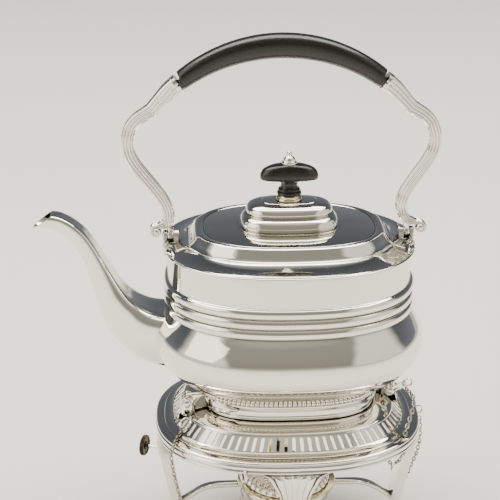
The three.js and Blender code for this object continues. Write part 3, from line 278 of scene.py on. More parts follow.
@dataclass(frozen=True)
class Silver:
    """Sterling silver, spun and cast, hand polished: near mirror with hairline wear, and painted shade with
    some tarnish in its crevices and between parts.
    """

    name: str = "polished_sterling_silver"
    colour: str = "#F1ECE2"
    # Painted shade, with some tarnish: the darker colour of crevices and of places between parts.
    painted_crevice_shade: str = "#6E675C"
    smooth_roughness: float = 0.035
    worn_roughness: float = 0.1
    wave_mm: float = 24.0
    wave_depth_mm: float = 0.1
    hairline_mm: float = 0.5
    hairline_depth_mm: float = 0.02
    hairline_stretch: float = 0.12
    painted_shade_mm: float = 5.0
    # The values of the noise between which wear changes, and of how open the surface is to the room, between
    # which the painted shade in crevices gives way to the plain colour.
    wear_range: Flat = (0.3, 0.75)
    painted_shade_range: Flat = (0.2, 0.75)

    def build(self) -> bpy.types.Material:
        """Makes the material: metal keeps the default IOR.

        Returns:
            The material.
        """
        material, nodes = open_material(self.name)
        cloud = nodes.noise(nodes.place(), self.wave_mm, 3.0, 0.55)
        # Real hairlines are finer than a pixel, so they are drawn half a millimetre apart.
        hairs = nodes.noise(nodes.stretched((1.0, 1.0, self.hairline_stretch)), self.hairline_mm, 2.0)
        # Painted shade: the base colour darkens where nearby surfaces, of this piece or of others, shut out
        # the room within a few millimetres.
        hollow = nodes.add("AmbientOcclusion", {
            "Distance": self.painted_shade_mm * MILLIMETRE, "samples": 6, "only_local": False,
        })
        painted_shade_mask = nodes.remap(hollow.outputs["AO"], self.painted_shade_range)
        swell = nodes.bump(cloud, 0.1, self.wave_depth_mm)
        nodes.shade({"Metallic": 1.0}, {
            "Base Color": nodes.mix(painted_shade_mask, self.painted_crevice_shade, self.colour),
            "Roughness": nodes.remap(cloud, self.wear_range, (self.smooth_roughness, self.worn_roughness)),
            "Normal": nodes.bump(hairs, 0.05, self.hairline_depth_mm, swell),
        })
        return material


@dataclass(frozen=True)
class Ebony:
    """Turned and waxed ebony: near black brown, fine straight pores, satin sheen."""

    name: str = "waxed_ebony"
    dark: str = "#0B0807"
    light: str = "#1C1411"
    pore_mm: float = 0.6
    pore_depth_mm: float = 0.06
    grain_mm: float = 5.0
    grain_stretch: float = 0.12
    roughness: Flat = (0.2, 0.32)

    def build(self) -> bpy.types.Material:
        """Makes the material, with grain along the grip.

        Returns:
            The material.
        """
        material, nodes = open_material(self.name)
        along = nodes.stretched((self.grain_stretch, 1.0, 1.0))
        grain = nodes.noise(along, self.grain_mm, 6.0, 0.65)
        pores = nodes.noise(along, self.pore_mm, 2.0)
        nodes.shade({"IOR": 1.53}, {
            "Base Color": nodes.ramp(grain, ((0.3, self.dark), (0.72, self.light))),
            "Roughness": nodes.remap(pores, (0.3, 0.7), self.roughness),
            "Normal": nodes.bump(pores, 0.25, self.pore_depth_mm),
        })
        return material


@dataclass(frozen=True)
class Cotton:
    """Braided cotton wick: matt cream yarn, painted darker as shade in the braid's grooves, with a charred,
    browned top.
    """

    name: str = "braided_cotton"
    yarn: str = "#E4DAC2"
    # Painted shade: the colour of the braid's grooves between the strands.
    shade: str = "#A89A7C"
    char: str = "#2B2420"
    yarn_mm: float = 1.2
    yarn_depth_mm: float = 0.3
    char_from_mm: float = 58.5
    char_to_mm: float = 60.2

    def build(self) -> bpy.types.Material:
        """Makes the material, charred above a height.

        Returns:
            The material.
        """
        material, nodes = open_material(self.name)
        place = nodes.place()
        braid = nodes.add("TexWave", {
            "Scale": 1 / (self.yarn_mm * MILLIMETRE * FULL_TURN), "Distortion": 3.0,
            "bands_direction": "DIAGONAL",
        }, {"Vector": place}).outputs["Fac"]
        height = nodes.add("SeparateXYZ", None, {"Vector": place}).outputs["Z"]
        burnt = nodes.remap(height, (self.char_from_mm * MILLIMETRE, self.char_to_mm * MILLIMETRE))
        # The yarn darkens where the braid's relief is low: painted shade between the strands.
        fresh = nodes.ramp(braid, ((0.2, self.shade), (0.8, self.yarn)))
        nodes.shade({"Roughness": 0.9}, {
            "Base Color": nodes.mix(burnt, fresh, self.char),
            "Normal": nodes.bump(braid, 0.6, self.yarn_depth_mm),
        })
        return material


@dataclass(frozen=True)
class Blackened:
    """Blackened brass of the winder wheel: dark brown patina, half polished on its high spots."""

    name: str = "blackened_brass"
    patina: str = "#2C2621"
    rubbed: str = "#5B4B3A"
    patch_mm: float = 3.0
    roughness: Flat = (0.3, 0.5)

    def build(self) -> bpy.types.Material:
        """Makes the material: metal keeps the default IOR.

        Returns:
            The material.
        """
        material, nodes = open_material(self.name)
        patches = nodes.noise(nodes.place(), self.patch_mm, 5.0)
        nodes.shade({"Metallic": 1.0}, {
            "Base Color": nodes.ramp(patches, ((0.45, self.patina), (0.75, self.rubbed))),
            "Roughness": nodes.remap(patches, (0.3, 0.7), self.roughness),
        })
        return material


Finish = Silver | Ebony | Cotton | Blackened


# Shapes, in millimetres, with the kettle's middle at x = 0


def oval_point(station: Station, angle: float, outward: float = 0.0) -> Vector:
    """Finds a point on a squared oval.

    Args:
        station: Half length, half width, height and squareness.
        angle: The point's direction from the middle.
        outward: Extra distance from the middle.

    Returns:
        The point.
    """
    half_length, half_width, height, squareness = station
    along = (abs(math.cos(angle)) / half_length) ** squareness
    across = (abs(math.sin(angle)) / half_width) ** squareness
    radius = (along + across) ** (-1 / squareness) + outward
    return Vector((radius * math.cos(angle), radius * math.sin(angle), height))


def oval_ring(station: Station, angles: Sequence[float]) -> list[Vector]:
    """Lists the points of a squared oval at the given angles."""
    return [oval_point(station, angle) for angle in angles]


def soft_cosine(turn: float) -> float:
    """Gives a cosine that fills a section's corners a little, for a softly squared section."""
    return math.copysign(abs(math.cos(turn)) ** 0.78, math.cos(turn))


def soft_sine(turn: float) -> float:
    """Gives the sine that belongs to the soft cosine."""
    return soft_cosine(turn - RIGHT_ANGLE)


def even_turn(count: int) -> list[float]:
    """Lists angles that divide a full turn evenly."""
    return [FULL_TURN * index / count for index in range(count)]


def even_lengths(station: Station, count: int) -> list[float]:
    """Lists angles that divide an oval's outline into even lengths.

    Args:
        station: The oval.
        count: How many angles.

    Returns:
        The angles in order.
    """
    fine = even_turn(count * 24)
    points = oval_ring(station, fine)
    lengths = [0.0]
    for index, point in enumerate(points):
        lengths.append(lengths[-1] + (points[(index + 1) % len(points)] - point).length)
    angles = []
    cursor = 0
    for index in range(count):
        wanted = index / count * lengths[-1]
        while lengths[cursor + 1] < wanted:
            cursor += 1
        step = (wanted - lengths[cursor]) / (lengths[cursor + 1] - lengths[cursor])
        angles.append(FULL_TURN * (cursor + step) / len(fine))
    return angles


def big(*rows: tuple[float, float, float]) -> list[Station]:
    """Makes stations of the big ovals from rows of reach, height and squareness."""
    return [(reach, reach - OVAL_DIFFERENCE, height, squareness) for reach, height, squareness in rows]


def round_rows(*rows: Flat) -> list[Station]:
    """Makes stations of a round piece from rows of radius and height."""
    return [(radius, radius, height, 2.0) for radius, height in rows]


def curved(rows: Sequence[Sequence[float]], steps: int = 4) -> list[Row]:
    """Puts more rows on a smooth curve through the given rows.

    Args:
        rows: Rows of numbers along one curve.
        steps: Parts between one given row and the next.

    Returns:
        The given rows with new ones between them.
    """
    result = []
    last = len(rows) - 1
    for index in range(last):
        before = rows[max(index - 1, 0)]
        start = rows[index]
        end = rows[index + 1]
        after = rows[min(index + 2, last)]
        for step in range(steps):
            t = step / steps
            result.append(tuple(
                b + 0.5 * t * ((c - a) + t * (2 * a - 5 * b + 4 * c - d + t * (3 * b - a - 3 * c + d)))
                for a, b, c, d in zip(before, start, end, after)
            ))
    result.append(tuple(rows[last]))
    return result


def joined_runs(*runs: Sequence[Station]) -> list[Station]:
    """Joins smooth runs of stations at corners, without repeating the shared stations.

    Args:
        *runs: The runs in order.

    Returns:
        One list of stations.
    """
    result: list[Station] = []
    for run in runs:
        for station in run:
            if not result or any(abs(a - b) > 1e-6 for a, b in zip(result[-1], station)):
                result.append(tuple(station))
    return result


def ring_edges(loop: Sequence[BMVert]) -> list[BMEdge]:
    """Lists the edges between neighbours of a closed loop of vertices.

    Args:
        loop: The vertices in order.

    Returns:
        The edges in order.
    """
    wanted = []
    for index, vertex in enumerate(loop):
        neighbour = loop[(index + 1) % len(loop)]
        wanted.append(next(edge for edge in vertex.link_edges if edge.other_vert(vertex) is neighbour))
    return wanted


def skin(rings: Sequence[Sequence[Vector]], joined: bool = False, capped: bool = True) -> BMesh:
    """Extrudes a loop through rings of equal size.

    Args:
        rings: The places of the loop's points at each step.
        joined: Whether the last ring meets the first.
        capped: Whether the ends are closed where they don't meet.

    Returns:
        The new mesh.
    """
    mesh = bmesh.new()
    made = bmesh.ops.create_circle(mesh, cap_ends=False, segments=len(rings[0]), radius=1.0)
    start = made["verts"][0]
    loop = [start, start.link_edges[0].other_vert(start)]
    while len(loop) < len(rings[0]):
        before, last = loop[-2:]
        neighbours = [edge.other_vert(last) for edge in last.link_edges]
        loop.append(next(vertex for vertex in neighbours if vertex is not before))
    first = loop
    for vertex, place in zip(first, rings[0]):
        vertex.co = place
    for ring in rings[1:]:
        grown = bmesh.ops.extrude_edge_only(mesh, edges=ring_edges(loop))
        fresh = {item for item in grown["geom"] if isinstance(item, BMVert)}
        loop = [
            next(edge.other_vert(vertex) for edge in vertex.link_edges if edge.other_vert(vertex) in fresh)
            for vertex in loop
        ]
        for vertex, place in zip(loop, ring):
            vertex.co = place
    ends = ring_edges(first) + ring_edges(loop)
    if joined:
        bmesh.ops.bridge_loops(mesh, edges=ends)
    elif capped:
        bmesh.ops.holes_fill(mesh, edges=ends, sides=0)
    bmesh.ops.recalc_face_normals(mesh, faces=mesh.faces)
    return mesh


def oval_skin(stations: Sequence[Station], count: int = 144, joined: bool = False) -> BMesh:
    """Skins a stack of squared ovals with evenly turned points."""
    angles = even_turn(count)
    return skin([oval_ring(station, angles) for station in stations], joined)


def gathered(*meshes: BMesh) -> BMesh:
    """Puts several meshes into the first and frees the others.

    Args:
        *meshes: The meshes.

    Returns:
        The first mesh.
    """
    base = meshes[0]
    for other in meshes[1:]:
        carrier = bpy.data.meshes.new("carrier")
        other.to_mesh(carrier)
        other.free()
        base.from_mesh(carrier)
        bpy.data.meshes.remove(carrier)
    return base


def moved(mesh: BMesh, matrix: Matrix) -> BMesh:
    """Moves a whole mesh and gives it back."""
    bmesh.ops.transform(mesh, matrix=matrix, verts=mesh.verts)
    return mesh


def mirrored(mesh: BMesh) -> BMesh:
    """Mirrors a whole mesh left to right, keeps its faces turned out and gives it back."""
    bmesh.ops.reverse_faces(mesh, faces=mesh.faces)
    return moved(mesh, Matrix.Scale(-1, 4, (1, 0, 0)))


def upright_to(place: Vector, way: Vector) -> Matrix:
    """Gives the move that takes the origin to a place and turns up to a way."""
    turn = Vector((0, 0, 1)).rotation_difference(way)
    return Matrix.Translation(place) @ turn.to_matrix().to_4x4()


def slab(outline: Sequence[Vector], thickness: Vector, rounding: float = 0.3) -> BMesh:
    """Makes a plate with rounded edges.

    Args:
        outline: The corners of one face in order.
        thickness: The way and distance to the other face.
        rounding: Width of the rounded edges.

    Returns:
        The plate.
    """
    plate = skin([outline, [point + thickness for point in outline]])
    sharp = [edge for edge in plate.edges if edge.calc_face_angle(0.0) > SHARP_TURN]
    bmesh.ops.bevel(
        plate, geom=sharp, offset=rounding, offset_type="OFFSET", segments=2, profile=0.5,
        affect="EDGES", material=-1, clamp_overlap=True,
    )
    return plate


def eyed_plate(
    outline: Sequence[Vector],
    thickness: Vector,
    centre: Vector,
    bore: float,
    rounding: float,
) -> BMesh:
    """Makes a plate with a round hole and rounded edges.

    Args:
        outline: The corners of one face in order, all in sight from the hole's middle.
        thickness: The way and distance to the other face.
        centre: The hole's middle on that face.
        bore: The hole's radius.
        rounding: Width of the rounded edges.

    Returns:
        The plate.
    """
    edge: list[Vector] = []
    for start, end in zip(outline, [*outline[1:], outline[0]]):
        parts = math.ceil((start - centre).angle(end - centre) / EYE_STEP)
        edge += [start.lerp(end, step / parts) - centre for step in range(parts)]
    depth = thickness.length
    way = thickness.normalized()
    lip = rounding * 0.5
    corner = rounding * 0.3
    rings = []
    for inward, down in (
        (rounding, 0.0), (corner, corner), (0.0, rounding),
        (0.0, depth - rounding), (corner, depth - corner), (rounding, depth),
    ):
        rings.append([centre + arm * (1 - inward / arm.length) + way * down for arm in edge])
    for wider, down in ((lip, depth), (0.0, depth - lip), (0.0, lip), (lip, 0.0)):
        rings.append([centre + arm.normalized() * (bore + wider) + way * down for arm in edge])
    return skin(rings, joined=True)


def bar(start: Vector, end: Vector, radius: float, count: int = 24, rounding: float = 0.25) -> BMesh:
    """Makes a round rod with softened ends.

    Args:
        start: The middle of one end.
        end: The middle of the other.
        radius: The rod's radius.
        count: Points round it.
        rounding: Width of its softened edges.

    Returns:
        The rod.
    """
    length = (end - start).length
    edge = radius - rounding
    rows = round_rows((edge, 0), (radius, rounding), (radius, length - rounding), (edge, length))
    return moved(oval_skin(rows, count), upright_to(start, end - start))


def hoop(
    centre: Vector,
    normal: Vector,
    radius: float,
    wire: float,
    around: int = 32,
    sides: int = 10,
) -> BMesh:
    """Spins a wire into a closed ring.

    Args:
        centre: The ring's middle.
        normal: The way through the ring.
        radius: From the middle to the wire's core.
        wire: The wire's radius.
        around: Steps round the ring.
        sides: Sides of the wire.

    Returns:
        The ring.
    """
    mesh = bmesh.new()
    bmesh.ops.create_circle(mesh, cap_ends=False, segments=sides, radius=wire)
    moved(mesh, Matrix.Translation((radius, 0, 0)) @ Matrix.Rotation(RIGHT_ANGLE, 4, "X"))
    bmesh.ops.spin(
        mesh, geom=mesh.verts[:] + mesh.edges[:], cent=(0, 0, 0), axis=(0, 0, 1), angle=FULL_TURN,
        steps=around, use_merge=True,
    )
    bmesh.ops.remove_doubles(mesh, verts=mesh.verts, dist=1e-4)
    bmesh.ops.recalc_face_normals(mesh, faces=mesh.faces)
    return moved(mesh, upright_to(centre, normal))


def path_frames(points: Sequence[Vector], first_side: Vector) -> list[tuple[Vector, Vector, Vector]]:
    """Finds the way, the side and the top at each point of a path, without twist.

    Args:
        points: The path.
        first_side: A way that the side should start near.

    Returns:
        Triples of unit vectors.
    """
    frames = []
    side = first_side
    for index in range(len(points)):
        way = (points[min(index + 1, len(points) - 1)] - points[max(index - 1, 0)]).normalized()
        side = (side - way * side.dot(way)).normalized()
        frames.append((way, side, way.cross(side)))
    return frames


def rail(points: Sequence[Vector], section: Callable[[float], Sequence[Flat]], first_side: Vector) -> BMesh:
    """Runs a section along a path.

    Args:
        points: The path.
        section: Gives the section's points, as distances along the side and the top, at a share of the path.
        first_side: A way that the side should start near.

    Returns:
        The closed piece.
    """
    last = len(points) - 1
    rings = []
    for index, (point, (_, side, top)) in enumerate(zip(points, path_frames(points, first_side))):
        rings.append([point + side * across + top * up for across, up in section(index / last)])
    return skin(rings)


def pillow(
    outline: Sequence[Flat],
    place: Callable[[float, float, float], Vector],
    rise: float,
    rim: float = 0.5,
) -> BMesh:
    """Raises a domed relief on an outline.

    Args:
        outline: The outline's points on the carrier's surface.
        place: Gives a point in space for two distances on the surface and one above it.
        rise: Height of the relief's middle.
        rim: Height of its edge.

    Returns:
        The closed relief.
    """
    middle_u = sum(u for u, _ in outline) / len(outline)
    middle_v = sum(v for _, v in outline) / len(outline)
    swell = rise - rim
    rings = []
    # Each ring's share of the outline and its height; the first lies inside the carrier.
    for share, height in (
        (1, -0.6), (1.0, rim), (0.93, rim + 0.35 * swell), (0.75, rim + 0.7 * swell),
        (0.45, rim + 0.94 * swell), (0.12, rise),
    ):
        rings.append([
            place(middle_u + (u - middle_u) * share, middle_v + (v - middle_v) * share, height)
            for u, v in outline
        ])
    return skin(rings)


def leaf_outline(length: float, width: float, lobes: int, points: int = 96) -> list[Flat]:
    """Draws a leaf with rounded lobes, its stalk at zero and its tip at its length.

    Args:
        length: From the stalk to the tip.
        width: The greatest width.
        lobes: Lobes on each side.
        points: Points round the outline.

    Returns:
        Points in order, as distances along and across the leaf.
    """
    half = []
    for index in range(points // 2 + 1):
        share = index / (points // 2)
        body = math.sin(math.pi * share ** 0.8) ** 0.7 if 0 < share < 1 else 0.0
        notch = 1 - 0.3 * (0.5 - 0.5 * math.cos(FULL_TURN * lobes * share)) * (1 - share * 0.4)
        half.append((share * length, body * notch * width / 2))
    back = [(along, -across) for along, across in reversed(half[1:-1])]
    return half + back


@dataclass
class Workshop:
    """Turns meshes in millimetres into finished pieces that ride on a body."""

    materials: dict[str, bpy.types.Material] = field(default_factory=dict)
    made: list[str] = field(default_factory=list)

    def material(self, finish: Finish) -> bpy.types.Material:
        """Gives a finish's material, built once.

        Args:
            finish: The finish.

        Returns:
            Its material.
        """
        if finish.name not in self.materials:
            self.materials[finish.name] = finish.build()
        return self.materials[finish.name]

    def add(
        self,
        name: str,
        mesh: BMesh,
        finish: Finish,
        body: Body,
        nodes: Iterable[str] = (),
        crease: float = 34.0,
    ) -> None:
        """Makes a piece.

        Args:
            name: The piece's name.
            mesh: Its shape in millimetres; it is freed.
            finish: What it is made of.
            body: The body that it moves with.
            nodes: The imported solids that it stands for.
            crease: Edges that turn by more than this many degrees stay sharp.
        """
        bmesh.ops.remove_doubles(mesh, verts=mesh.verts, dist=1e-4)
        bmesh.ops.translate(mesh, vec=(AXIS_SHIFT, 0.0, 0.0), verts=mesh.verts)
        bmesh.ops.scale(mesh, vec=(MILLIMETRE, MILLIMETRE, MILLIMETRE), verts=mesh.verts)
        for face in mesh.faces:
            face.smooth = True
        for edge in mesh.edges:
            turn = math.degrees(edge.calc_face_angle(0.0))
            edge.smooth = len(edge.link_faces) != 2 or turn <= crease
        data = bpy.data.meshes.new(name)
        mesh.to_mesh(data)
        mesh.free()
        data.materials.append(self.material(finish))
        piece = bpy.data.objects.new(name, data)
        bpy.context.scene.collection.objects.link(piece)
        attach(piece, body.value)
        stood_for = list(nodes)
        if stood_for:
            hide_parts(*stood_for)
        self.made.append(name)
        LOG.info("piece %s: %d faces on %s", name, len(data.polygons), body.value)

    def refinish(self, finish: Finish, *nodes: str) -> None:
        """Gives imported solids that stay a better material.

        Args:
            finish: What they are made of.
            nodes: Their names.
        """
        for node in nodes:
            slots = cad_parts[node].data.materials
            slots.clear()
            slots.append(self.material(finish))


SILVER = Silver()
# A thin gold wash, which gives the eye a yellower silver, on the collar and on the burner's dish.
# Its darker hollow colour is painted shade, as on the plain silver.
GILT = Silver(
    name="gilt_washed_silver", colour="#E8DDBC", painted_crevice_shade="#7D6C49", smooth_roughness=0.1,
    worn_roughness=0.18,
)
# Drawn wire that is handled but never polished, which is greyer than the rest, with deep painted shade
# between its links.
CHAIN_SILVER = Silver(
    name="dull_silver_wire", colour="#A9A297", painted_crevice_shade="#2B2723", smooth_roughness=0.16,
    worn_roughness=0.3, painted_shade_mm=2.5,
)
EBONY = Ebony()
COTTON = Cotton()
BLACKENED = Blackened()


# The kettle and its lid


@dataclass
class Kettle:
    """The raised and spun body with its foot, girdle, shoulder, spout and lugs; sizes in millimetres."""

    shop: Workshop
    foot_bottom: float = 106.6
    foot_top: float = 116.6
    body_bottom: float = 123.6
    shoulder_seam: float = 217.0
    wall_reach: float = 81.3
    sheet: float = 1.3
    cusp_turn: float = math.radians(15.75)
    reeds: int = 3
    reed_pitch: float = 7.0
    reed_half: float = 3.3
    reed_depth: float = 2.25
    lobes: int = 116
    around: int = 160
    # The shoulder's edge, and how steeply the slope falls before it and past it.
    edge_reach: float = 83.7
    edge_height: float = 219.0
    slope_fall: float = 0.09
    edge_fall: float = 2.4
    # The ovals that the leaves follow: inside the shoulder's edge and on the foot collar's face.
    edge_line: Station = (80.9, 66.9, 0, 2.35)
    foot_line: Station = (58.4, 44.4, 0, 2.9)
    # The arms of the knuckles start at this oval, inside the foot collar.
    foot_core: Station = (57.4, 43.4, 0, 2.9)
    # The leaves beside a knuckle: which way along the foot, length, width and lobes.
    foot_leaves: tuple[tuple[int, float, float, int], ...] = ((-1, 30, 10.5, 4), (1, 18, 9, 3))
    # Where the two ears of a handle lug start and end along X.
    ears: tuple[Flat, ...] = ((73.4, 76.8), (81.2, 83.4))
    ear_radius: float = 3.45
    # Rows of reach, height and squareness, from the foot up the outside and down the inside.
    bulge_rows: tuple[Place, ...] = (
        (56.5, 123.6, 2.8), (69, 126.6, 2.7), (76.5, 131, 2.6), (83, 136.8, 2.5), (88.3, 143.6, 2.45),
        (91.2, 152, 2.45), (90.2, 161.5, 2.45), (86.4, 169, 2.4), (81.3, 176, 2.4),
    )
    inner_rows: tuple[Place, ...] = (
        (80, 176.4, 2.4), (85.3, 168.2, 2.4), (89.8, 152.1, 2.45), (82, 138.2, 2.5), (68.5, 128, 2.7),
        (56, 124.9, 2.8),
    )
    edge_rows: tuple[Place, ...] = (
        (82.6, 217, 2.35), (83.7, 217.6, 2.35), (84, 218.3, 2.35), (83.7, 219, 2.35), (82.8, 219.2, 2.35),
    )
    # Rows of half length, half width, height, squareness and how far the four cusps stand out.
    slope_rows: tuple[Row, ...] = (
        (82.2, 68.2, 219.1, 2.35, 0), (79, 65, 219.25, 2.35, 0), (75.5, 61, 219.7, 2.38, 0),
        (72.2, 57, 220.5, 2.42, 0.3), (69.8, 53.6, 221.3, 2.5, 1.2), (68.3, 51.5, 222, 2.58, 2.3),
    )
    collar_foot_rows: tuple[Row, ...] = (
        (67.8, 51, 222.1, 2.6, 2.6), (67.7, 50.9, 222.5, 2.6, 2.6), (67, 50.3, 222.8, 2.6, 2.5),
    )
    collar_face_rows: tuple[Row, ...] = (
        (66.7, 50, 222.8, 2.6, 2.4), (65.6, 49, 224.2, 2.6, 1.8), (64.4, 48, 226.4, 2.6, 1.3),
        (63.2, 47.1, 228.4, 2.6, 1.1), (62.4, 46.5, 229.6, 2.6, 0.9), (61.2, 45.6, 230.2, 2.6, 0.7),
    )
    seat_rows: tuple[Row, ...] = (
        (57.9, 43.9, 230.2, 2.6, 0), (57.3, 43.3, 229.8, 2.6, 0), (57.3, 43.3, 228.6, 2.6, 0),
        (53.5, 39.5, 228.6, 2.6, 0), (53.5, 39.5, 227.3, 2.6, 0), (62.2, 45.8, 227.1, 2.6, 0),
        (63.2, 46.7, 223.1, 2.6, 0), (66, 48.7, 220.6, 2.6, 0), (75, 61, 218.6, 2.4, 0),
        (80, 66, 218, 2.35, 0), (80, 66, 217, 2.4, 0),
    )
    band_rows: tuple[Place, ...] = (
        (58.8, 116.6, 0.1), (61, 118, 0.8), (61.8, 120.2, 1), (60.2, 122.4, 0.8), (57.2, 123.5, 0.1),
    )
    # Rows down the spout: top reach and height, underside reach and height, half width.
    spout_rows: tuple[Row, ...] = (
        (-156.5, 241, -169.4, 231.7, 6.5), (-152, 240.2, -160, 230.4, 7),
        (-146.5, 237.6, -152.6, 227.8, 7.4), (-140.5, 233.4, -147, 223.6, 8),
        (-134.5, 227.5, -142.8, 218, 8.6), (-129.4, 220, -139.6, 212.2, 9.3),
        (-124, 210.3, -137, 206, 10.2), (-119, 201.3, -134.6, 198, 11.2),
        (-113.5, 191.8, -132.2, 190, 12.6), (-108, 184.4, -130, 181.5, 14.2),
        (-103, 179.6, -127.6, 173, 15.4), (-98, 176.2, -124.4, 163.2, 16.4),
        (-93, 173.8, -119.2, 153.2, 17.6), (-88, 172.4, -111.2, 143.2, 18.8),
        (-83, 171.8, -98, 133, 19.8), (-78.5, 171.5, -79.5, 127, 20.6),
    )
    # Shares of the way down a section of the spout, and of its half width.
    spout_sides: tuple[Flat, ...] = (
        (0, 0), (-0.004, 0.55), (0.02, 0.93), (0.12, 1.05), (0.3, 1.07), (0.5, 0.99), (0.7, 0.82),
        (0.88, 0.52), (0.97, 0.25), (1, 0),
    )

    def build(self) -> None:
        """Makes every piece of the kettle."""
        self.body()
        self.shoulder()
        self.girdle()
        self.foot()
        self.spout()
        for sign, side in ((1, "right"), (-1, "left")):
            self.handle_lug(sign, side)
        self.stand_lug(-1, LEFT_KNUCKLE, "left")
        self.stand_lug(1, RIGHT_KNUCKLE, "right")
        self.lid_hinge_leaf()
        self.shop.refinish(SILVER, "handle_pivot_left", "handle_pivot_right", "lid_hinge_pin")

    def body(self) -> None:
        """Skins the thin bowl, inside and out."""
        outside = joined_runs(
            big((40.0, self.body_bottom, 2.8), (55.5, self.body_bottom, 2.8)),
            curved(big(*self.bulge_rows), 5),
            big((self.wall_reach, 197.0, 2.4), (self.wall_reach, self.shoulder_seam, 2.4)),
        )
        inside = joined_runs(
            big((self.wall_reach - self.sheet, self.shoulder_seam, 2.4)),
            curved(big(*self.inner_rows), 4),
        )
        shell = oval_skin(outside + inside, self.around)
        self.shop.add("body_shell", shell, SILVER, Body.KETTLE, ["kettle_body"])

    def collar_ring(self, row: Sequence[float]) -> list[Vector]:
        """Lays one outline of the seat collar, with its four cusps.

        Args:
            row: Half length, half width, height, squareness and how far the cusps stand out.

        Returns:
            The outline's points.
        """
        points = []
        for turn in even_turn(self.around):
            past = abs(math.asin(math.sin(turn))) - self.cusp_turn
            # A cusp fades toward the end of the oval and turns to a slight hollow toward its side.
            if past < 0:
                share = math.exp(past / 0.09)
            else:
                share = 1.3 * math.exp(-past / 0.06) - 0.3 * math.exp(-(past / 0.3) ** 2)
            points.append(oval_point(tuple(row[:4]), turn, row[4] * share))
        return points

    def shoulder(self) -> None:
        """Skins the shoulder's edge, its nearly flat slope and the cusped collar round the lid."""
        angles = even_turn(self.around)
        seam = big((82.2, self.shoulder_seam, 2.35))
        edge = joined_runs(seam, curved(big(*self.edge_rows), 3))
        top = curved(self.slope_rows, 3)
        top += curved(self.collar_foot_rows, 2)
        top += curved(self.collar_face_rows, 3)
        rings = [oval_ring(station, angles) for station in edge]
        rings += [self.collar_ring(row) for row in top + list(self.seat_rows)]
        mesh = skin(rings, joined=True)
        self.shop.add("shoulder_cover", mesh, SILVER, Body.KETTLE, ["kettle_shoulder"])

    def girdle(self) -> None:
        """Skins the band of half-round reeds on the wall."""
        back = self.wall_reach + 0.05
        rim = back + 0.35
        rows: list[Place] = [(back, 176.2, 2.4)]
        for reed in range(self.reeds):
            middle = 176.4 + self.reed_half + reed * self.reed_pitch
            for step in range(9):
                turn = math.pi * step / 8
                out = self.reed_depth * math.sin(turn)
                rows.append((rim + out, middle - self.reed_half * math.cos(turn), 2.4))
        rows.append((back, 197.4, 2.4))
        mesh = oval_skin(big(*rows), self.around, joined=True)
        self.shop.add("three_reed_girdle", mesh, SILVER, Body.KETTLE, ["reeded_girdle"])

    def foot(self) -> None:
        """Skins the plain foot collar and the band of small lobes above it."""
        low = self.foot_bottom
        high = self.foot_top
        collar = joined_runs(
            big((54, low, 2.9), (57.9, low, 2.9)),
            curved(big((58.6, low + 0.5, 2.9), (58.5, low + 1.6, 2.9), (57.7, low + 2.4, 2.9)), 3),
            curved(big((57.5, low + 2.9, 2.9), (57.3, 112, 2.9), (57.6, high - 1.2, 2.9)), 3),
            big((58.6, high - 0.9, 2.9), (58.6, high, 2.9), (54, high, 2.9)),
        )
        ring = oval_skin(collar, self.around, joined=True)
        self.shop.add("foot_collar", ring, SILVER, Body.KETTLE, ["foot_ring"])
        steps = 6
        angles = even_lengths((58.6, 44.6, high, 2.85), self.lobes * steps)
        rings = []
        for reach, height, depth in curved(self.band_rows, 4):
            station = (reach, reach - OVAL_DIFFERENCE, height, 2.85)
            swells = [1.5 * abs(math.sin(math.pi * index / steps)) ** 0.6 - 1.2 for index in range(steps)]
            rings.append([
                oval_point(station, angle, depth * swells[index % steps])
                for index, angle in enumerate(angles)
            ])
        for height in (self.body_bottom, high):
            rings.append(oval_ring((52.0, 52.0 - OVAL_DIFFERENCE, height, 2.8), angles))
        mesh = skin(rings, joined=True)
        self.shop.add("lobed_band", mesh, SILVER, Body.KETTLE, ["gadroon_band"], crease=60.0)

    def wall_inside(self, point: Vector) -> float:
        """Says how far out along X the middle of the wall's sheet lies.

        Args:
            point: A point at the height and the distance aside that are asked for.

        Returns:
            The distance.
        """
        rows = ((55.5, self.body_bottom, 2.8),) + self.bulge_rows
        reach = self.wall_reach
        for (low_reach, low, _), (high_reach, high, _) in zip(rows, rows[1:]):
            if low <= point.z <= high:
                reach = low_reach + (high_reach - low_reach) * (point.z - low) / max(high - low, 0.01)
        reach -= self.sheet / 2
        aside = min(abs(point.y) / (reach - OVAL_DIFFERENCE), 0.99)
        squareness = 2.45
        return reach * (1 - aside ** squareness) ** (1 / squareness)

    def spout(self) -> None:
        """Skins the swan-neck spout: flat on top, round below, hollow, with a pointed lip."""
        rows = curved(self.spout_rows, 4)
        outer = [self.spout_ring(row, 0.0) for row in rows]
        inner = [self.spout_ring(row, self.sheet) for row in reversed(rows)]
        mesh = skin(outer + inner, joined=True)
        self.shop.add("swan_neck_spout", mesh, SILVER, Body.KETTLE, ["spout"], crease=50.0)

    def spout_ring(self, row: Sequence[float], inward: float) -> list[Vector]:
        """Lays one section of the spout, which stops in the thickness of the kettle's wall.

        Args:
            row: Top reach and height, underside reach and height, and half width.
            inward: How far inside the outer face the section lies.

        Returns:
            The section's points.
        """
        top_x, top_z, belly_x, belly_z, half_width = row
        top = Vector((top_x, 0, top_z))
        belly = Vector((belly_x, 0, belly_z))
        down = (belly - top).normalized()
        top += down * inward
        belly -= down * inward
        width = half_width - inward
        points = [
            top.lerp(belly, share) + Vector((0, width * out, 0))
            for share, out in curved(self.spout_sides, 2)
        ]
        points += [Vector((point.x, -point.y, point.z)) for point in reversed(points[1:-1])]
        for point in points:
            point.x = min(point.x, -self.wall_inside(point))
        return points

    def slope_height(self, reach: float) -> float:
        """Gives the height of the shoulder at a reach along the long axis, falling away past its edge."""
        past = reach - self.edge_reach
        return self.edge_height - past * (self.edge_fall if past > 0 else self.slope_fall)

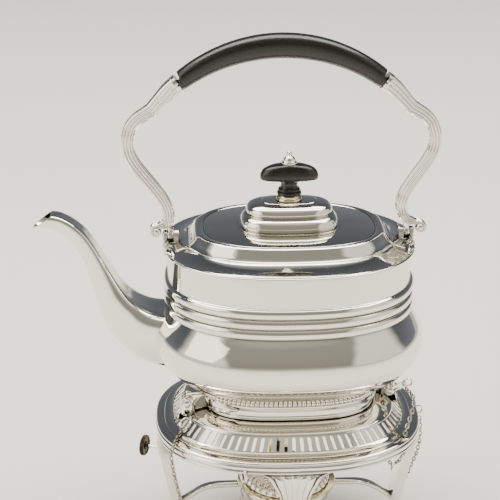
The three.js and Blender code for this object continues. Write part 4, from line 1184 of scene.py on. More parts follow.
    def handle_lug(self, sign: int, side: str) -> None:
        """Makes a two-eared lug between two leaves that lie along the shoulder's edge.

        Args:
            sign: One for the right lug, minus one for the left.
            side: The lug's side in names.
        """
        low = 217.8
        radius = self.ear_radius
        parts = []
        for start, end in self.ears:
            rows = [(-4.4, low), (-4, 221.2)]
            rows += [
                (-radius * math.cos(turn), PIVOT_HEIGHT + radius * math.sin(turn))
                for turn in (0.1 + 2.94 * step / 12 for step in range(13))
            ]
            rows += [(4, 221.2), (4.4, low)]
            parts.append(slab([Vector((start, y, z)) for y, z in rows], Vector((end - start, 0, 0)), 0.4))
        leaf = leaf_outline(25, 8.2, 3)
        for way in (-1, 1):
            parts.append(pillow(leaf, lambda u, v, h: self.on_edge(way * (u + 2.0), v, h), 2.5, 0.5))
            vein = [self.on_edge(way * (2.5 + step * 1.5), 0.0, 2.3 - 0.11 * step) for step in range(15)]
            parts.append(rail(vein, lambda share: [
                ((0.9 - 0.5 * share) * math.cos(turn), 0.6 * math.sin(turn)) for turn in even_turn(10)
            ], Vector((1, 0, 0))))
        face_reach = self.ears[1][1] - 0.2
        face = leaf_outline(8.6, 7.6, 1)
        root = low + 0.8
        parts.append(pillow(face, lambda u, v, h: Vector((face_reach + h * 0.8, v, root + u)), 1.5, 0.3))
        inner = self.ears[0][0]
        saddle = [Vector((inner, y, z)) for y, z in ((-4.2, low), (4.2, low), (4.2, 220.7), (-4.2, 220.7))]
        parts.append(slab(saddle, Vector((self.ears[1][1] - inner, 0, 0)), 0.4))
        mesh = gathered(*parts)
        if sign < 0:
            mirrored(mesh)
        self.shop.add(f"leafy_lug_{side}", mesh, SILVER, Body.KETTLE, [f"handle_lug_{side}"])

    def on_edge(self, along: float, across: float, above: float) -> Vector:
        """Gives a place by the shoulder's edge near its right end.

        Args:
            along: Distance along the edge from the long axis.
            across: Distance outward from a line just inside the edge.
            above: Distance up from the slope.

        Returns:
            The place.
        """
        reach = self.edge_line[0]
        spot = oval_point(self.edge_line, along / reach, across)
        return spot + Vector((0, 0, self.slope_height(reach + across) + above))

    def stand_lug(self, sign: int, middle: float, side: str) -> None:
        """Makes a knuckle on an arm from the foot, with a leaf along the lobed band.

        Args:
            sign: One for the right lug, minus one for the left.
            middle: Where the knuckle lies along Y.
            side: The lug's side in names.
        """
        hinge_x = sign * HINGE_REACH
        height = HINGE_HEIGHT
        radius = KNUCKLE_RADIUS
        half = 2.0
        rows = [
            (hinge_x + sign * radius * math.cos(turn), height + radius * math.sin(turn))
            for turn in (math.pi * step / 16 - RIGHT_ANGLE for step in range(17))
        ]
        reach = oval_point(self.foot_core, math.atan2(middle, hinge_x)).x
        rows += [(reach, height + radius), (reach, height - radius)]
        outline = [Vector((x, middle - half, z)) for x, z in rows]
        eye = Vector((hinge_x, middle - half, height))
        parts = [eyed_plate(outline, Vector((0, 2 * half, 0)), eye, PIN_BORE, 0.35)]
        start = math.atan2(middle, reach)
        # The stalk starts behind the arm, and the leaf's middle line lies a little over the hinge.
        behind = 1.5
        over = 1.5
        mean_reach = 56.0
        for way, length, width, lobes in self.foot_leaves:
            parts.append(pillow(
                [(u - behind, v) for u, v in leaf_outline(length, width, lobes)],
                lambda u, v, h: self.on_foot(start + sign * way * u / mean_reach, height + over + v, h),
                2.4, 0.4,
            ))
        self.shop.add(
            f"leafy_knuckle_{side}", gathered(*parts), SILVER, Body.KETTLE, [f"kettle_lug_{side}"],
        )

    def on_foot(self, turn: float, height: float, outward: float) -> Vector:
        """Gives a place on the foot collar's face by its turn, height and distance outward."""
        spot = oval_point(self.foot_line, turn, outward)
        return Vector((spot.x, spot.y, height))

    def lid_hinge_leaf(self) -> None:
        """Makes the two outer knuckles of the lid's hinge and the leaf that carries them."""
        inner = 4.3
        length = 6.0
        outer = inner + length
        parts = []
        for sign in (-1, 1):
            start = Vector((sign * inner, LID_AXIS_Y, LID_AXIS_Z))
            parts.append(bar(start, start + Vector((sign * length, 0, 0)), LID_KNUCKLE, 20, 0.3))
            near = min(sign * inner, sign * outer)
            rows = ((45.4, 230.4), (48.2, 230.4), (48.2, 232.4), (46.4, 234.6))
            parts.append(slab([Vector((near, y, z)) for y, z in rows], Vector((length, 0, 0)), 0.3))
        rows = ((45.6, 229), (48.8, 228.6), (48.8, 231), (45.6, 231.3))
        parts.append(slab([Vector((-outer, y, z)) for y, z in rows], Vector((2 * outer, 0, 0)), 0.35))
        self.shop.add(
            "lid_hinge_outer_knuckles", gathered(*parts), SILVER, Body.KETTLE, ["body_hinge_leaf"],
        )


@dataclass
class Lid:
    """The flat lid with its stepped dome and ebony finial; sizes in millimetres."""

    shop: Workshop
    top: float = 230.0
    dome_top: float = 247.8
    squareness: float = 2.6
    bore: float = 1.8
    around: int = 144
    # Rows of half length, half width, height and squareness.
    lower_tier: tuple[Station, ...] = (
        (32.2, 20.6, 231, 2.8), (32.8, 21.2, 233.2, 2.8), (31.9, 20.3, 236.4, 2.8),
        (29.9, 18.4, 238.5, 2.8), (28.6, 17.1, 238.9, 2.8),
    )
    upper_tier: tuple[Station, ...] = (
        (27.9, 16.4, 239.9, 2.8), (28.7, 17.2, 241.6, 2.8), (28.1, 16.6, 243.8, 2.8),
        (26.3, 15.1, 245.6, 2.8), (23, 12.6, 246.9, 2.8), (18.6, 9.5, 247.4, 2.9),
    )
    hollow: tuple[Station, ...] = (
        (17, 8, 245.4, 3), (25.6, 14.6, 243, 2.8), (26, 14.8, 239.4, 2.8), (30.4, 19, 236.8, 2.8),
        (31.4, 19.8, 233.6, 2.8), (30.2, 18.7, 230, 2.8),
    )

    def build(self) -> None:
        """Makes every piece of the lid."""
        self.plate()
        self.dome()
        self.finial()
        self.hinge_leaf()
        self.shop.refinish(SILVER, "finial_bolt", "finial_nut")

    def ovals(self, *rows: Flat) -> list[Station]:
        """Makes stations of the lid's own oval from rows of reach and height."""
        return [(reach, reach - OVAL_DIFFERENCE, height, self.squareness) for reach, height in rows]

    def plate(self) -> None:
        """Skins the flat plate with its skirt."""
        profile = joined_runs(
            curved(self.ovals((57, 229.3), (56.9, 229.8), (56.4, self.top)), 2),
            [(29.0, 17.6, self.top + 0.3, 2.8), (29, 17.6, 228.7, 2.8)],
            self.ovals((52.1, 228.7), (52.1, 223), (53.1, 223), (53.1, 228.7), (57, 228.8)),
        )
        mesh = oval_skin(profile, self.around, joined=True)
        self.shop.add("lid_cover", mesh, SILVER, Body.LID, ["lid_plate"])

    def dome(self) -> None:
        """Skins the dome's two tiers, with a crisp groove between them."""
        top = self.dome_top
        outside = joined_runs(
            curved([(33.2, 21.6, self.top, 2.8), (33.1, 21.5, 230.6, 2.8), (32.4, 20.8, 230.9, 2.8)], 3),
            curved(self.lower_tier, 4),
            [(27.9, 16.4, 239.2, 2.8)],
            curved(self.upper_tier, 4),
            curved([(18.2, 9.2, 247.5, 2.9), (17.9, 9.0, top - 0.1, 2.9), (17.4, 8.6, top, 2.9)], 2),
            [(8.0, 7.2, top, 2.4), (self.bore, self.bore, top, 2.0), (self.bore, self.bore, 246.0, 2.0)],
        )
        mesh = oval_skin(outside + curved(self.hollow, 2), self.around, joined=True)
        self.shop.add("two_tier_dome", mesh, SILVER, Body.LID, ["lid_dome"])

    def finial(self) -> None:
        """Makes the gilt collar, the ringed stem, the flat ebony button and its cap."""
        collar = joined_runs(
            [(7.6, 7, 247.8, 2.2)],
            curved([(8.2, 7.4, 248.2, 2.2), (8.5, 7.6, 249, 2.2), (8.1, 7.3, 249.8, 2.2)], 3),
            curved([(7.3, 6.7, 250, 2.2), (7.2, 6.6, 250.8, 2.2), (7.5, 6.8, 251.5, 2.2)], 2),
        )
        stem = joined_runs(
            [(7.2, 6.6, 251.5, 2.2)],
            curved([(7.8, 6.8, 252, 2.2), (8.15, 7, 253, 2.2), (7.8, 6.8, 254, 2.2)], 3),
            curved([(7, 6.3, 254.3, 2.2), (7.4, 6.6, 255.2, 2.2), (7, 6.4, 256.2, 2.2)], 3),
            curved([
                (6.2, 5.8, 256.6, 2.2), (5.5, 5.4, 258.6, 2.2), (5.9, 5.5, 260.4, 2.2),
                (7.4, 5.9, 262, 2.2),
            ], 3),
        )
        button = curved([
            (17.4, 5.8, 262, 2.6), (18.8, 6.6, 262.5, 2.6), (19.25, 7, 263.8, 2.6), (19.1, 7, 266, 2.6),
            (17, 6.5, 269.4, 2.6), (11.6, 5.6, 271.8, 2.5), (5.2, 4.4, 272.8, 2.2),
        ], 5)
        for name, node, rows, finish, count in (
            ("gilt_collar", "finial_collar", collar, GILT, 64),
            ("ringed_stem", "finial_stem", stem, EBONY, 64),
            ("ebony_button", "finial_button", button, EBONY, 80),
        ):
            bore = [(self.bore, self.bore, height, 2.0) for height in (rows[-1][2], rows[0][2])]
            self.shop.add(name, oval_skin(joined_runs(rows, bore), count, True), finish, Body.LID, [node])
        cap = joined_runs(
            [(0.9, 0.9, 275.2, 2), (1.8, 1.8, 274.7, 2), (1.8, 1.8, 272.8, 2), (5, 4.6, 272.8, 2)],
            curved([(5.2, 4.8, 273.2, 2), (5.1, 4.7, 274, 2), (4.4, 4.1, 274.8, 2)], 3),
            curved([(4.1, 3.9, 275, 2), (3.7, 3.6, 276.6, 2), (2.2, 2.2, 278, 2), (1.4, 1.4, 278.8, 2)], 3),
            curved([
                (1.4, 1.4, 279, 2), (1.8, 1.8, 279.8, 2), (1.4, 1.4, 280.8, 2), (0.4, 0.4, 281.7, 2),
            ], 4),
        )
        self.shop.add("spired_cap", oval_skin(cap, 40), SILVER, Body.LID, ["finial_cap"])

    def hinge_leaf(self) -> None:
        """Makes the lid's own knuckle and the leaf that holds it to the plate."""
        start = Vector((-4, LID_AXIS_Y, LID_AXIS_Z))
        knuckle = bar(start, start + Vector((8, 0, 0)), LID_KNUCKLE, 20, 0.3)
        rows = (
            (37.8, 230), (43, 230), (44.2, 232.2), (43.9, 235.3), (42.6, 233.6), (41.4, 231.5),
            (38.6, 230.9),
        )
        leaf = slab([Vector((-4, y, z)) for y, z in rows], Vector((8, 0, 0)), 0.25)
        mesh = gathered(knuckle, leaf)
        self.shop.add("lid_hinge_middle_knuckle", mesh, SILVER, Body.LID, ["lid_hinge_leaf"])


@dataclass
class Handle:
    """The ebony grip between two reeded silver straps; sizes in millimetres."""

    shop: Workshop
    lean: float = -5.2
    lean_rise: float = 20.0
    lean_from: float = 228.4
    grip_span: float = 67.5
    grip_end: float = 327.7
    grip_rise: float = 24.1
    # The share of the grip past which its sections turn square to the straps.
    grip_ends: float = 0.94
    grip_radius: float = 6.0
    # How much thicker the grip is at its middle, in the plane of its arch and through it.
    grip_swell: Flat = (2.1, 1.6)
    neck_reach: float = 79.0
    scroll_reach: float = 88.0
    scroll_height: float = 227.5
    # The way of the strap where it meets the grip, along X and Z.
    socket_way: Flat = (0.827, -0.562)
    # Rows of reach, height, width, depth and how deep the grooves are, from the grip to the kink.
    upper_rows: tuple[Row, ...] = (
        (66.6, 328.3, 12.2, 12, 0.1), (68.6, 326.8, 12.2, 12, 0.1), (69.4, 326.2, 11.4, 11.2, 0.5),
        (73.5, 322.6, 10.8, 10.2, 0.6), (78.6, 317.2, 9.8, 9.2, 0.65), (82.4, 312.9, 9.2, 8.6, 0.65),
        (84.5, 310.4, 9.4, 8.2, 0.65),
    )
    # The same from the kink to the scroll.
    lower_rows: tuple[Row, ...] = (
        (84.5, 310.4, 9.4, 8.2, 0.65), (88.8, 308, 8.4, 7.6, 0.65), (94.4, 304, 8.2, 7, 0.65),
        (98.6, 298.5, 8.2, 6.8, 0.65), (100.8, 290.5, 8.2, 6.8, 0.65), (100, 282.4, 8.2, 6.8, 0.65),
        (96.9, 275, 8.1, 6.8, 0.65), (91.4, 267, 8, 6.8, 0.65), (84.9, 258, 7.9, 6.8, 0.65),
        (79.9, 250, 7.8, 6.7, 0.65), (77.4, 242, 7.6, 6.6, 0.65), (78, 236.2, 7, 6.4, 0.6),
        (80.6, 232.9, 6, 6.2, 0.5), (83.6, 231.7, 4.8, 6.2, 0.35),
    )

    def build(self) -> None:
        """Makes both straps and the grip."""
        for sign, side in ((1, "right"), (-1, "left")):
            self.arm(sign, side)
        self.grip()
        self.shop.refinish(SILVER, "grip_dowel_right", "grip_dowel_left")

    def leaned(self, mesh: BMesh) -> BMesh:
        """Leans a mesh toward the spout as it rises from the pivots.

        Args:
            mesh: The mesh.

        Returns:
            The same mesh.
        """
        for vertex in mesh.verts:
            rise = max(vertex.co.z - self.lean_from, 0.0)
            vertex.co.x += self.lean * (1 - math.exp(-rise / self.lean_rise))
        return mesh

    def strap_section(self, width: float, depth: float, reeds: float) -> list[Flat]:
        """Lays a squared section with four reeds on each face, rounder where the reeds are shallow.

        Args:
            width: Across the strap, in the plane of the handle.
            depth: Through the strap, from front to back.
            reeds: How deep the grooves between the reeds are.

        Returns:
            The section's points.
        """
        count = 4
        steps = 5
        squareness = 2.5 + 4 * reeds
        points: list[Flat] = []
        corners = [(1, -1), (1, 1), (-1, 1), (-1, -1)]
        for index, (a, b) in enumerate(corners):
            c, d = corners[(index + 1) % 4]
            for step in range(count * steps):
                share = step / (count * steps)
                groove = reeds * (1 - abs(math.sin(math.pi * count * share)) ** 0.7)
                x = a + (c - a) * share
                y = b + (d - b) * share
                rounded = (abs(x) ** squareness + abs(y) ** squareness) ** (-1 / squareness)
                x *= rounded * width / 2
                y *= rounded * depth / 2
                if a == c:
                    x -= a * groove
                else:
                    y -= b * groove
                points.append((x, y))
        return points

    def scroll_rows(self) -> list[Row]:
        """Lists rows of the strap's end, wound inward on itself like a snail.

        Returns:
            Rows like those of the rest of the strap.
        """
        rows = []
        for step in range(15):
            turn = math.radians(112 - 26 * step)
            radius = 3.6 - 0.15 * step
            reach = self.scroll_reach + radius * math.cos(turn)
            height = self.scroll_height + radius * math.sin(turn)
            depth = 6.2 + 1.6 * math.sin(math.pi * step / 14) - 0.05 * step
            rows.append((reach, height, 3.4 - 0.09 * step, depth, 0.3 - 0.02 * step))
        return rows

    def arm(self, sign: int, side: str) -> None:
        """Makes one strap from its socket on the grip to its scrolled foot.

        Args:
            sign: One for the right strap, minus one for the left.
            side: The strap's side in names.
        """
        fine = curved(self.upper_rows, 5)[:-1] + curved(list(self.lower_rows) + self.scroll_rows(), 4)
        points = [Vector((row[0], 0, row[1])) for row in fine]
        rings = []
        for index, (point, row) in enumerate(zip(points, fine)):
            way = (points[min(index + 1, len(points) - 1)] - points[max(index - 1, 0)]).normalized()
            if index == 0:
                way = Vector((self.socket_way[0], 0, self.socket_way[1]))
            across = Vector((-way.z, 0, way.x))
            section = self.strap_section(row[2], row[3], row[4])
            rings.append([point + across * x + Vector((0, y, 0)) for x, y in section])
        corners = ((1, -0.7), (1, 0.7), (0.7, 1), (-0.7, 1), (-1, 0.7), (-1, -0.7), (-0.7, -1), (0.7, -1))
        neck = skin([
            [Vector((x + a * width / 2, b * depth / 2, z)) for a, b in corners]
            for x, z, width, depth in curved([
                (77.6, 236, 6, 5.6), (78.8, 230.4, 3.8, 4.6), (self.neck_reach, 226.2, 3.7, 4.6),
                (self.neck_reach, 224.2, 3.7, 4.4),
            ], 3)
        ])
        pivot = Vector((self.neck_reach, 0, PIVOT_HEIGHT))
        half_eye = Vector((1.9, 0, 0))
        eye = bar(pivot - half_eye, pivot + half_eye, 3.3, 28, 0.35)
        middle = Vector((self.scroll_reach, 0, self.scroll_height))
        half_boss = Vector((0, 4.3, 0))
        boss = bar(middle - half_boss, middle + half_boss, 2.6, 24, 1.3)
        mesh = gathered(skin(rings), neck, eye, boss)
        if sign < 0:
            mirrored(mesh)
        name = f"reeded_strap_{side}"
        self.shop.add(name, self.leaned(mesh), SILVER, Body.HANDLE, [f"handle_arm_{side}"], crease=48.0)

    def grip(self) -> None:
        """Skins the arched grip, thickest at its middle, with its end faces square to the straps."""
        rise = self.grip_rise
        radius = (self.grip_span ** 2 + rise ** 2) / (2 * rise)
        centre = self.grip_end + rise - radius
        end_angle = math.asin(self.grip_span / radius)
        tangent = Vector(self.socket_way).normalized()
        rings = []
        count = 72
        for index in range(count + 1):
            share = index / count * 2 - 1
            angle = share * end_angle
            swell = math.cos(share * RIGHT_ANGLE)
            outward = Vector((math.sin(angle), math.cos(angle)))
            if abs(share) > self.grip_ends:
                blend = (abs(share) - self.grip_ends) / (1 - self.grip_ends)
                square = Vector((-math.copysign(tangent.y, share), tangent.x))
                outward = outward.lerp(square, blend).normalized()
            thick = self.grip_radius + self.grip_swell[0] * swell
            deep = self.grip_radius + self.grip_swell[1] * swell
            rings.append([Vector((
                radius * math.sin(angle) + outward.x * thick * soft_cosine(turn),
                deep * soft_sine(turn),
                centre + radius * math.cos(angle) + outward.y * thick * soft_cosine(turn),
            )) for turn in even_turn(48)])
        mesh = self.leaned(skin(rings))
        self.shop.add("arched_grip", mesh, EBONY, Body.HANDLE, ["handle_grip"], crease=60.0)


# The stand, its chains and the loose pins


@dataclass
class Stand:
    """The oval rim, pierced gallery, hinge brackets, fluted legs and feet; sizes in millimetres."""

    shop: Workshop
    rim_bottom: float = 84.0
    rim_top: float = 92.5
    rim_reach: float = 92.0
    gallery_top: float = 106.3
    # Where the right chain passes down through the rim.
    chain_hole: Flat = (76.1, -46.6)
    # The slots of the gallery run from the low oval toward the high one.
    slot_low: Station = (80, 66, 94, 2.6)
    slot_high: Station = (72.2, 58.2, 102.6, 2.7)
    slots: int = 86
    slot_width: float = 2.3
    slot_margin: float = 0.8
    slot_corners: int = 28
    gallery_sheet: float = 1.3
    bracket_half: float = 5.3
    ear_thick: float = 3.0
    reeds: int = 5
    reed_depth: float = 1.3
    reeded_share: float = 0.8
    # The leg starts to bend round the rim's oval at this height.
    fan_height: float = 60.0
    around: int = 168
    # Rows of reach, height, half width and thickness down a leg.
    leg_rows: tuple[Station, ...] = (
        (90.4, 84, 25, 6.6), (91.2, 81.4, 18.6, 6.6), (91, 75, 14.8, 6.4), (90, 69, 11.8, 6.4),
        (88.4, 61.5, 9.8, 6.4), (85.8, 48, 9.3, 6.4), (83, 34, 9, 6.4), (81, 21, 9.2, 6.4),
        (82.4, 12.4, 9.8, 6), (87.6, 6.6, 10.6, 5), (91.4, 4.2, 10.8, 4.4),
    )

    def build(self) -> None:
        """Makes every piece of the stand."""
        self.rim()
        self.gallery()
        self.bracket(-1, LEFT_KNUCKLE, "left")
        self.bracket(1, RIGHT_KNUCKLE, "right")
        for side in Side:
            self.leg(side)
            self.foot(side)
        self.staples()

    def rim(self) -> None:
        """Skins the rim: a quarter round below, a groove, a broad rounded face and a bead on top."""
        inner = 77.0
        low = self.rim_bottom
        high = self.rim_top
        runs = (
            ((inner, low), (90.0, low)),
            curved(((90.2, low), (91.4, 84.5), (91.7, 85.5), (91.2, 86.2)), 3),
            curved(((91, 86.4), (91.8, 87.2), (self.rim_reach, 88.4), (91.7, 89.6), (91.1, 90.2)), 3),
            curved(((91, 90.4), (91.3, 91.2), (90.9, 92), (90.0, high)), 3),
            ((inner, high),),
        )
        profile = joined_runs(*(big(*((reach, height, 2.4) for reach, height in run)) for run in runs))
        rim = oval_skin(profile, self.around, joined=True)
        self.shop.add("moulded_rim", rim, SILVER, Body.STAND, ["stand_rim"])
        grommets = [
            hoop(Vector((*self.chain_hole, height)), Vector((0, 0, 1)), 2.0, 0.55, 24, 8)
            for height in (92.7, 83.8)
        ]
        self.shop.add("chain_hole_rims", gathered(*grommets), SILVER, Body.STAND)

    def gallery(self) -> None:
        """Makes the sloping gallery with its slots, and the mouldings under and over it."""
        edges = even_lengths(self.slot_low, self.slots * 2)
        cells = []
        for index in range(self.slots):
            start = edges[2 * index]
            middle = edges[2 * index + 1]
            end = edges[(2 * index + 2) % len(edges)]
            cells.append(self.cell(start, middle, end if end > start else end + FULL_TURN))
        sheet = gathered(*cells)
        bmesh.ops.remove_doubles(sheet, verts=sheet.verts, dist=0.02)
        bmesh.ops.recalc_face_normals(sheet, faces=sheet.faces)
        bmesh.ops.solidify(sheet, geom=sheet.faces[:], thickness=self.gallery_sheet)
        bmesh.ops.recalc_face_normals(sheet, faces=sheet.faces)
        foot = joined_runs(
            big((78.6, self.rim_top, 2.5), (85.0, self.rim_top, 2.5)),
            curved(big((85.2, self.rim_top, 2.5), (85.5, 92.9, 2.5), (85, 93.4, 2.5)), 3),
            curved(big((84.8, 93.4, 2.5), (82.2, 93.7, 2.55), (80.4, 94.4, 2.6), (79.6, 94.9, 2.6)), 3),
            big((78.6, 93.6, 2.6)),
        )
        top = self.gallery_top
        head = joined_runs(
            big((71.2, 101.5, 2.7)),
            curved(big(
                (72.5, 102.2, 2.7), (71.8, 103.3, 2.72), (69.4, 104.5, 2.76), (66, 105.5, 2.8),
                (61, 106.2, 2.9),
            ), 4),
            curved(big((61, 106.1, 2.9), (60.2, top, 2.9), (55.6, top, 2.9), (55, 105.8, 2.9)), 2),
            curved(big(
                (55, 105.2, 2.9), (61, 104.9, 2.85), (66.4, 104, 2.8), (69.4, 102.8, 2.74),
                (71, 101.6, 2.7),
            ), 2),
        )
        mouldings = [oval_skin(profile, self.around, joined=True) for profile in (foot, head)]
        mesh = gathered(sheet, *mouldings)
        self.shop.add("pierced_gallery", mesh, SILVER, Body.STAND, ["gallery"], crease=40.0)

    def cell(self, start: float, middle: float, end: float) -> BMesh:
        """Makes one bay of the gallery with a round-ended slot.

        Args:
            start: Turn at which the bay starts.
            middle: Turn of its middle.
            end: Turn at which it ends.

        Returns:
            The open sheet.
        """
        low, high = (oval_point(station, middle) for station in (self.slot_low, self.slot_high))
        low_width, high_width = (
            (oval_point(station, end) - oval_point(station, start)).length
            for station in (self.slot_low, self.slot_high)
        )
        height = (high - low).length
        radius = self.slot_width / 2
        straight = height / 2 - self.slot_margin - radius
        # Places on the bay, as its own width and height see them: shares across from its middle and up.
        slot: list[Flat] = []
        border: list[Flat] = []
        for index in range(self.slot_corners):
            turn = FULL_TURN * (index + 0.5) / self.slot_corners
            across = math.cos(turn)
            up = math.sin(turn)
            share = 0.5 + (radius * up + math.copysign(straight, up)) / height
            width = low_width + (high_width - low_width) * share
            slot.append((radius * across / width, share))
            scale = 0.5 / max(abs(across), abs(up))
            border.append((across * scale, 0.5 + up * scale))
        for corner in ((0.5, 1), (-0.5, 1), (-0.5, 0), (0.5, 0)):
            nearest = min(border, key=lambda spot: math.dist(spot, corner))
            border[border.index(nearest)] = corner
        rings = [
            [
                oval_point(self.slot_low, middle + (end - start) * across).lerp(
                    oval_point(self.slot_high, middle + (end - start) * across), share,
                )
                for across, share in ring
            ]
            for ring in (border, slot)
        ]
        return skin(rings, capped=False)

    def bracket(self, sign: int, middle: float, side: str) -> None:
        """Makes the two ears that hold a hinge pin, on a block shaped to the gallery.

        Args:
            sign: One for the right end, minus one for the left.
            middle: Where the knuckle between the ears lies along Y.
            side: The bracket's side in names.
        """
        x = sign * HINGE_REACH
        z = HINGE_HEIGHT
        front = middle - self.bracket_half
        back = middle + self.bracket_half
        parts = []
        for start in (front, back - self.ear_thick):
            turns = [-0.35 + (math.pi + 0.7) * step / 20 for step in range(21)]
            rows = [
                (x + KNUCKLE_RADIUS * math.cos(turn), z + KNUCKLE_RADIUS * math.sin(turn)) for turn in turns
            ]
            rows += [(x - 5.4, z - 6.4), (x - 6.0, z - 12), (x + 6.0, z - 12), (x + 5.4, z - 6.4)]
            outline = [Vector((a, start, b)) for a, b in rows]
            eye = Vector((x, start, z))
            parts.append(eyed_plate(outline, Vector((0, self.ear_thick, 0)), eye, PIN_BORE, 0.45))
        block = [Vector((x + sign * a, front, z + b)) for a, b in (
            (-6.6, -8.6), (-3, -6.6), (4.2, -6.6), (6.4, -9.4), (6.4, -13.4), (-6.6, -8.9),
        )]
        parts.append(slab(block, Vector((0, back - front, 0)), 0.5))
        for face in (front - 0.05, back + 0.05):
            parts.append(hoop(Vector((x, face, z)), Vector((0, 1, 0)), 3.1, 0.35, 28, 8))
        self.shop.add(
            f"hinge_bracket_{side}", gathered(*parts), SILVER, Body.STAND, [f"stand_bracket_{side}"],
        )

    def rim_drop(self, tangential: float, is_end: bool) -> float:
        """Says how far the rim's oval falls back across a leg.

        Args:
            tangential: Distance from the leg's middle.
            is_end: Whether the leg stands at an end of the long axis.

        Returns:
            The distance inward.
        """
        half = self.rim_reach - OVAL_DIFFERENCE if is_end else self.rim_reach
        reach = self.rim_reach if is_end else self.rim_reach - OVAL_DIFFERENCE
        squareness = 2.4
        return reach * (1 - (1 - (abs(tangential) / half) ** squareness) ** (1 / squareness))

    def leg(self, side: Side) -> None:
        """Skins a leg: a fan under the rim, a narrow reeded shaft and an outward sweep to the foot.

        Args:
            side: Where the leg stands.
        """
        path = curved(self.leg_rows, 10)
        is_end = side.is_end()
        shift = 0.0 if is_end else OVAL_DIFFERENCE
        steps = 80
        rings = []
        for index, (reach, z, half, thick) in enumerate(path):
            before = path[max(index - 1, 0)]
            after = path[min(index + 1, len(path) - 1)]
            along = Vector((after[0] - before[0], after[1] - before[1])).normalized()
            inward = Vector((-1, 0)) if index == 0 else Vector((along.y, -along.x))
            head = max(0.0, (z - self.fan_height) / (self.rim_bottom - self.fan_height))
            shares = [step / steps * 2 - 1 for step in range(steps + 1)]
            section = [(share * half, self.reed_groove(share, z, half)) for share in shares]
            for share, depth in ((1, 0.6), (0.93, 1), (0, 1), (-0.93, 1), (-1, 0.6)):
                section.append((share * half, depth * thick))
            ring = []
            for across, depth in section:
                out = reach - shift - head * self.rim_drop(across, is_end)
                ring.append(Vector((out + inward.x * depth, across, z + inward.y * depth)))
            rings.append(ring)
        mesh = moved(skin(rings), Matrix.Rotation(side.value, 4, "Z"))
        word = side.name.lower()
        self.shop.add(f"fluted_leg_{word}", mesh, SILVER, Body.STAND, [f"leg_{word}"], crease=50.0)

    def reed_groove(self, share: float, height: float, half: float) -> float:
        """Gives the depth between the leg's reeds, which end in rounded heads, and a bead along each edge.

        Args:
            share: Place across the leg, from minus one to one.
            height: Place up the leg.
            half: Half the leg's width there.

        Returns:
            The depth, negative where the bead stands out.
        """
        if abs(share) > self.reeded_share:
            over = (abs(share) - self.reeded_share) / (1 - self.reeded_share)
            return 1.4 * over ** 4 - 0.7 * math.sin(math.pi * min(over, 1.0)) ** 0.7
        lane = (share / self.reeded_share + 1) / 2 * self.reeds
        local = (lane % 1.0) * 2 - 1
        aside = abs(math.floor(min(lane, self.reeds - 0.01)) - (self.reeds - 1) / 2)
        rounding = half / self.reeds * 1.1
        reed_top = self.rim_bottom - 0.6 - aside * 0.6
        above = max(0.0, height - (reed_top - rounding)) / rounding
        room = 1 - local ** 2 - above ** 2
        return self.reed_depth * min(1.0, half / 14) * (1 - math.sqrt(max(room, 0.0)))

    def foot(self, side: Side) -> None:
        """Skins an oval foot with a rounded edge under a leg.

        Args:
            side: Where the leg stands.
        """
        profile = joined_runs(
            [(10.4, 11.6, 0, 2.4)],
            curved([
                (11.2, 12.2, 0, 2.4), (12, 13, 0.9, 2.4), (12, 13, 1.9, 2.4), (11.2, 12.2, 2.7, 2.4),
            ], 3),
            curved([
                (11, 12, 2.9, 2.4), (10.8, 11.9, 3.8, 2.4), (9.6, 11.2, 4.8, 2.4), (7.4, 9.4, 5, 2.4),
            ], 3),
        )
        reach = self.rim_reach if side.is_end() else self.rim_reach - OVAL_DIFFERENCE
        place = Matrix.Rotation(side.value, 4, "Z") @ Matrix.Translation((reach, 0, 0))
        mesh = moved(oval_skin(profile, 72), place)
        word = side.name.lower()
        self.shop.add(f"moulded_foot_{word}", mesh, SILVER, Body.STAND, [f"foot_{word}"])

    def staples(self) -> None:
        """Makes the wire loops that hold the far ends of the chains."""
        left = hoop(Vector((-34, -72.6, 82.4)), Vector((1, 0.4, 0)), 4.6, 0.8, 36, 10)
        self.shop.add("wire_loop_left", left, SILVER, Body.STAND, ["chain_staple_left"])
        right = hoop(Vector((93.4, 6, 87)), Vector((0, 1, 0.2)), 3.2, 0.8, 32, 10)
        self.shop.add("wire_loop_right", right, SILVER, Body.STAND, ["chain_staple_right"])


@dataclass
class Chain:
    """A fine cable chain of oval links along a route; sizes in millimetres."""

    shop: Workshop
    side: str
    route: Sequence[Place]
    link_length: float = 4.3
    link_width: float = 3.2
    wire: float = 0.5
    slack: float = 0.35

    def build(self) -> None:
        """Lays links, each turned a quarter from the last, along the route."""
        fine = [Vector(point) for point in curved(self.route, 24)]
        pitch = self.link_length - 2 * self.wire - self.slack
        places = [fine[0]]
        travelled = 0.0
        for before, after in zip(fine, fine[1:]):
            travelled += (after - before).length
            if travelled >= pitch:
                places.append(after)
                travelled -= pitch
        link = self.link()
        links = []
        for index, (way, side, top) in enumerate(path_frames(places, Vector((0.3, 1, 0.2)))):
            across = side if index % 2 else top
            through = way.cross(across)
            turn = Matrix((way, across, through)).transposed().to_4x4()
            links.append(moved(link.copy(), Matrix.Translation(places[index]) @ turn))
        link.free()
        mesh = gathered(*links)
        name = f"cable_chain_{self.side}"
        self.shop.add(name, mesh, CHAIN_SILVER, Body.STAND, [f"chain_{self.side}"], crease=80.0)

    def link(self) -> BMesh:
        """Makes one oval link.

        Returns:
            The link, lying along X.
        """
        half_width = self.link_width / 2 - self.wire
        straight = self.link_length / 2 - self.wire - half_width
        rings = []
        for turn in even_turn(12):
            outward = Vector((math.cos(turn), math.sin(turn), 0))
            middle = outward * half_width + Vector((math.copysign(straight, outward.x), 0, 0))
            rings.append([
                middle + (outward * math.cos(around) + Vector((0, 0, math.sin(around)))) * self.wire
                for around in even_turn(6)
            ])
        return skin(rings, joined=True)


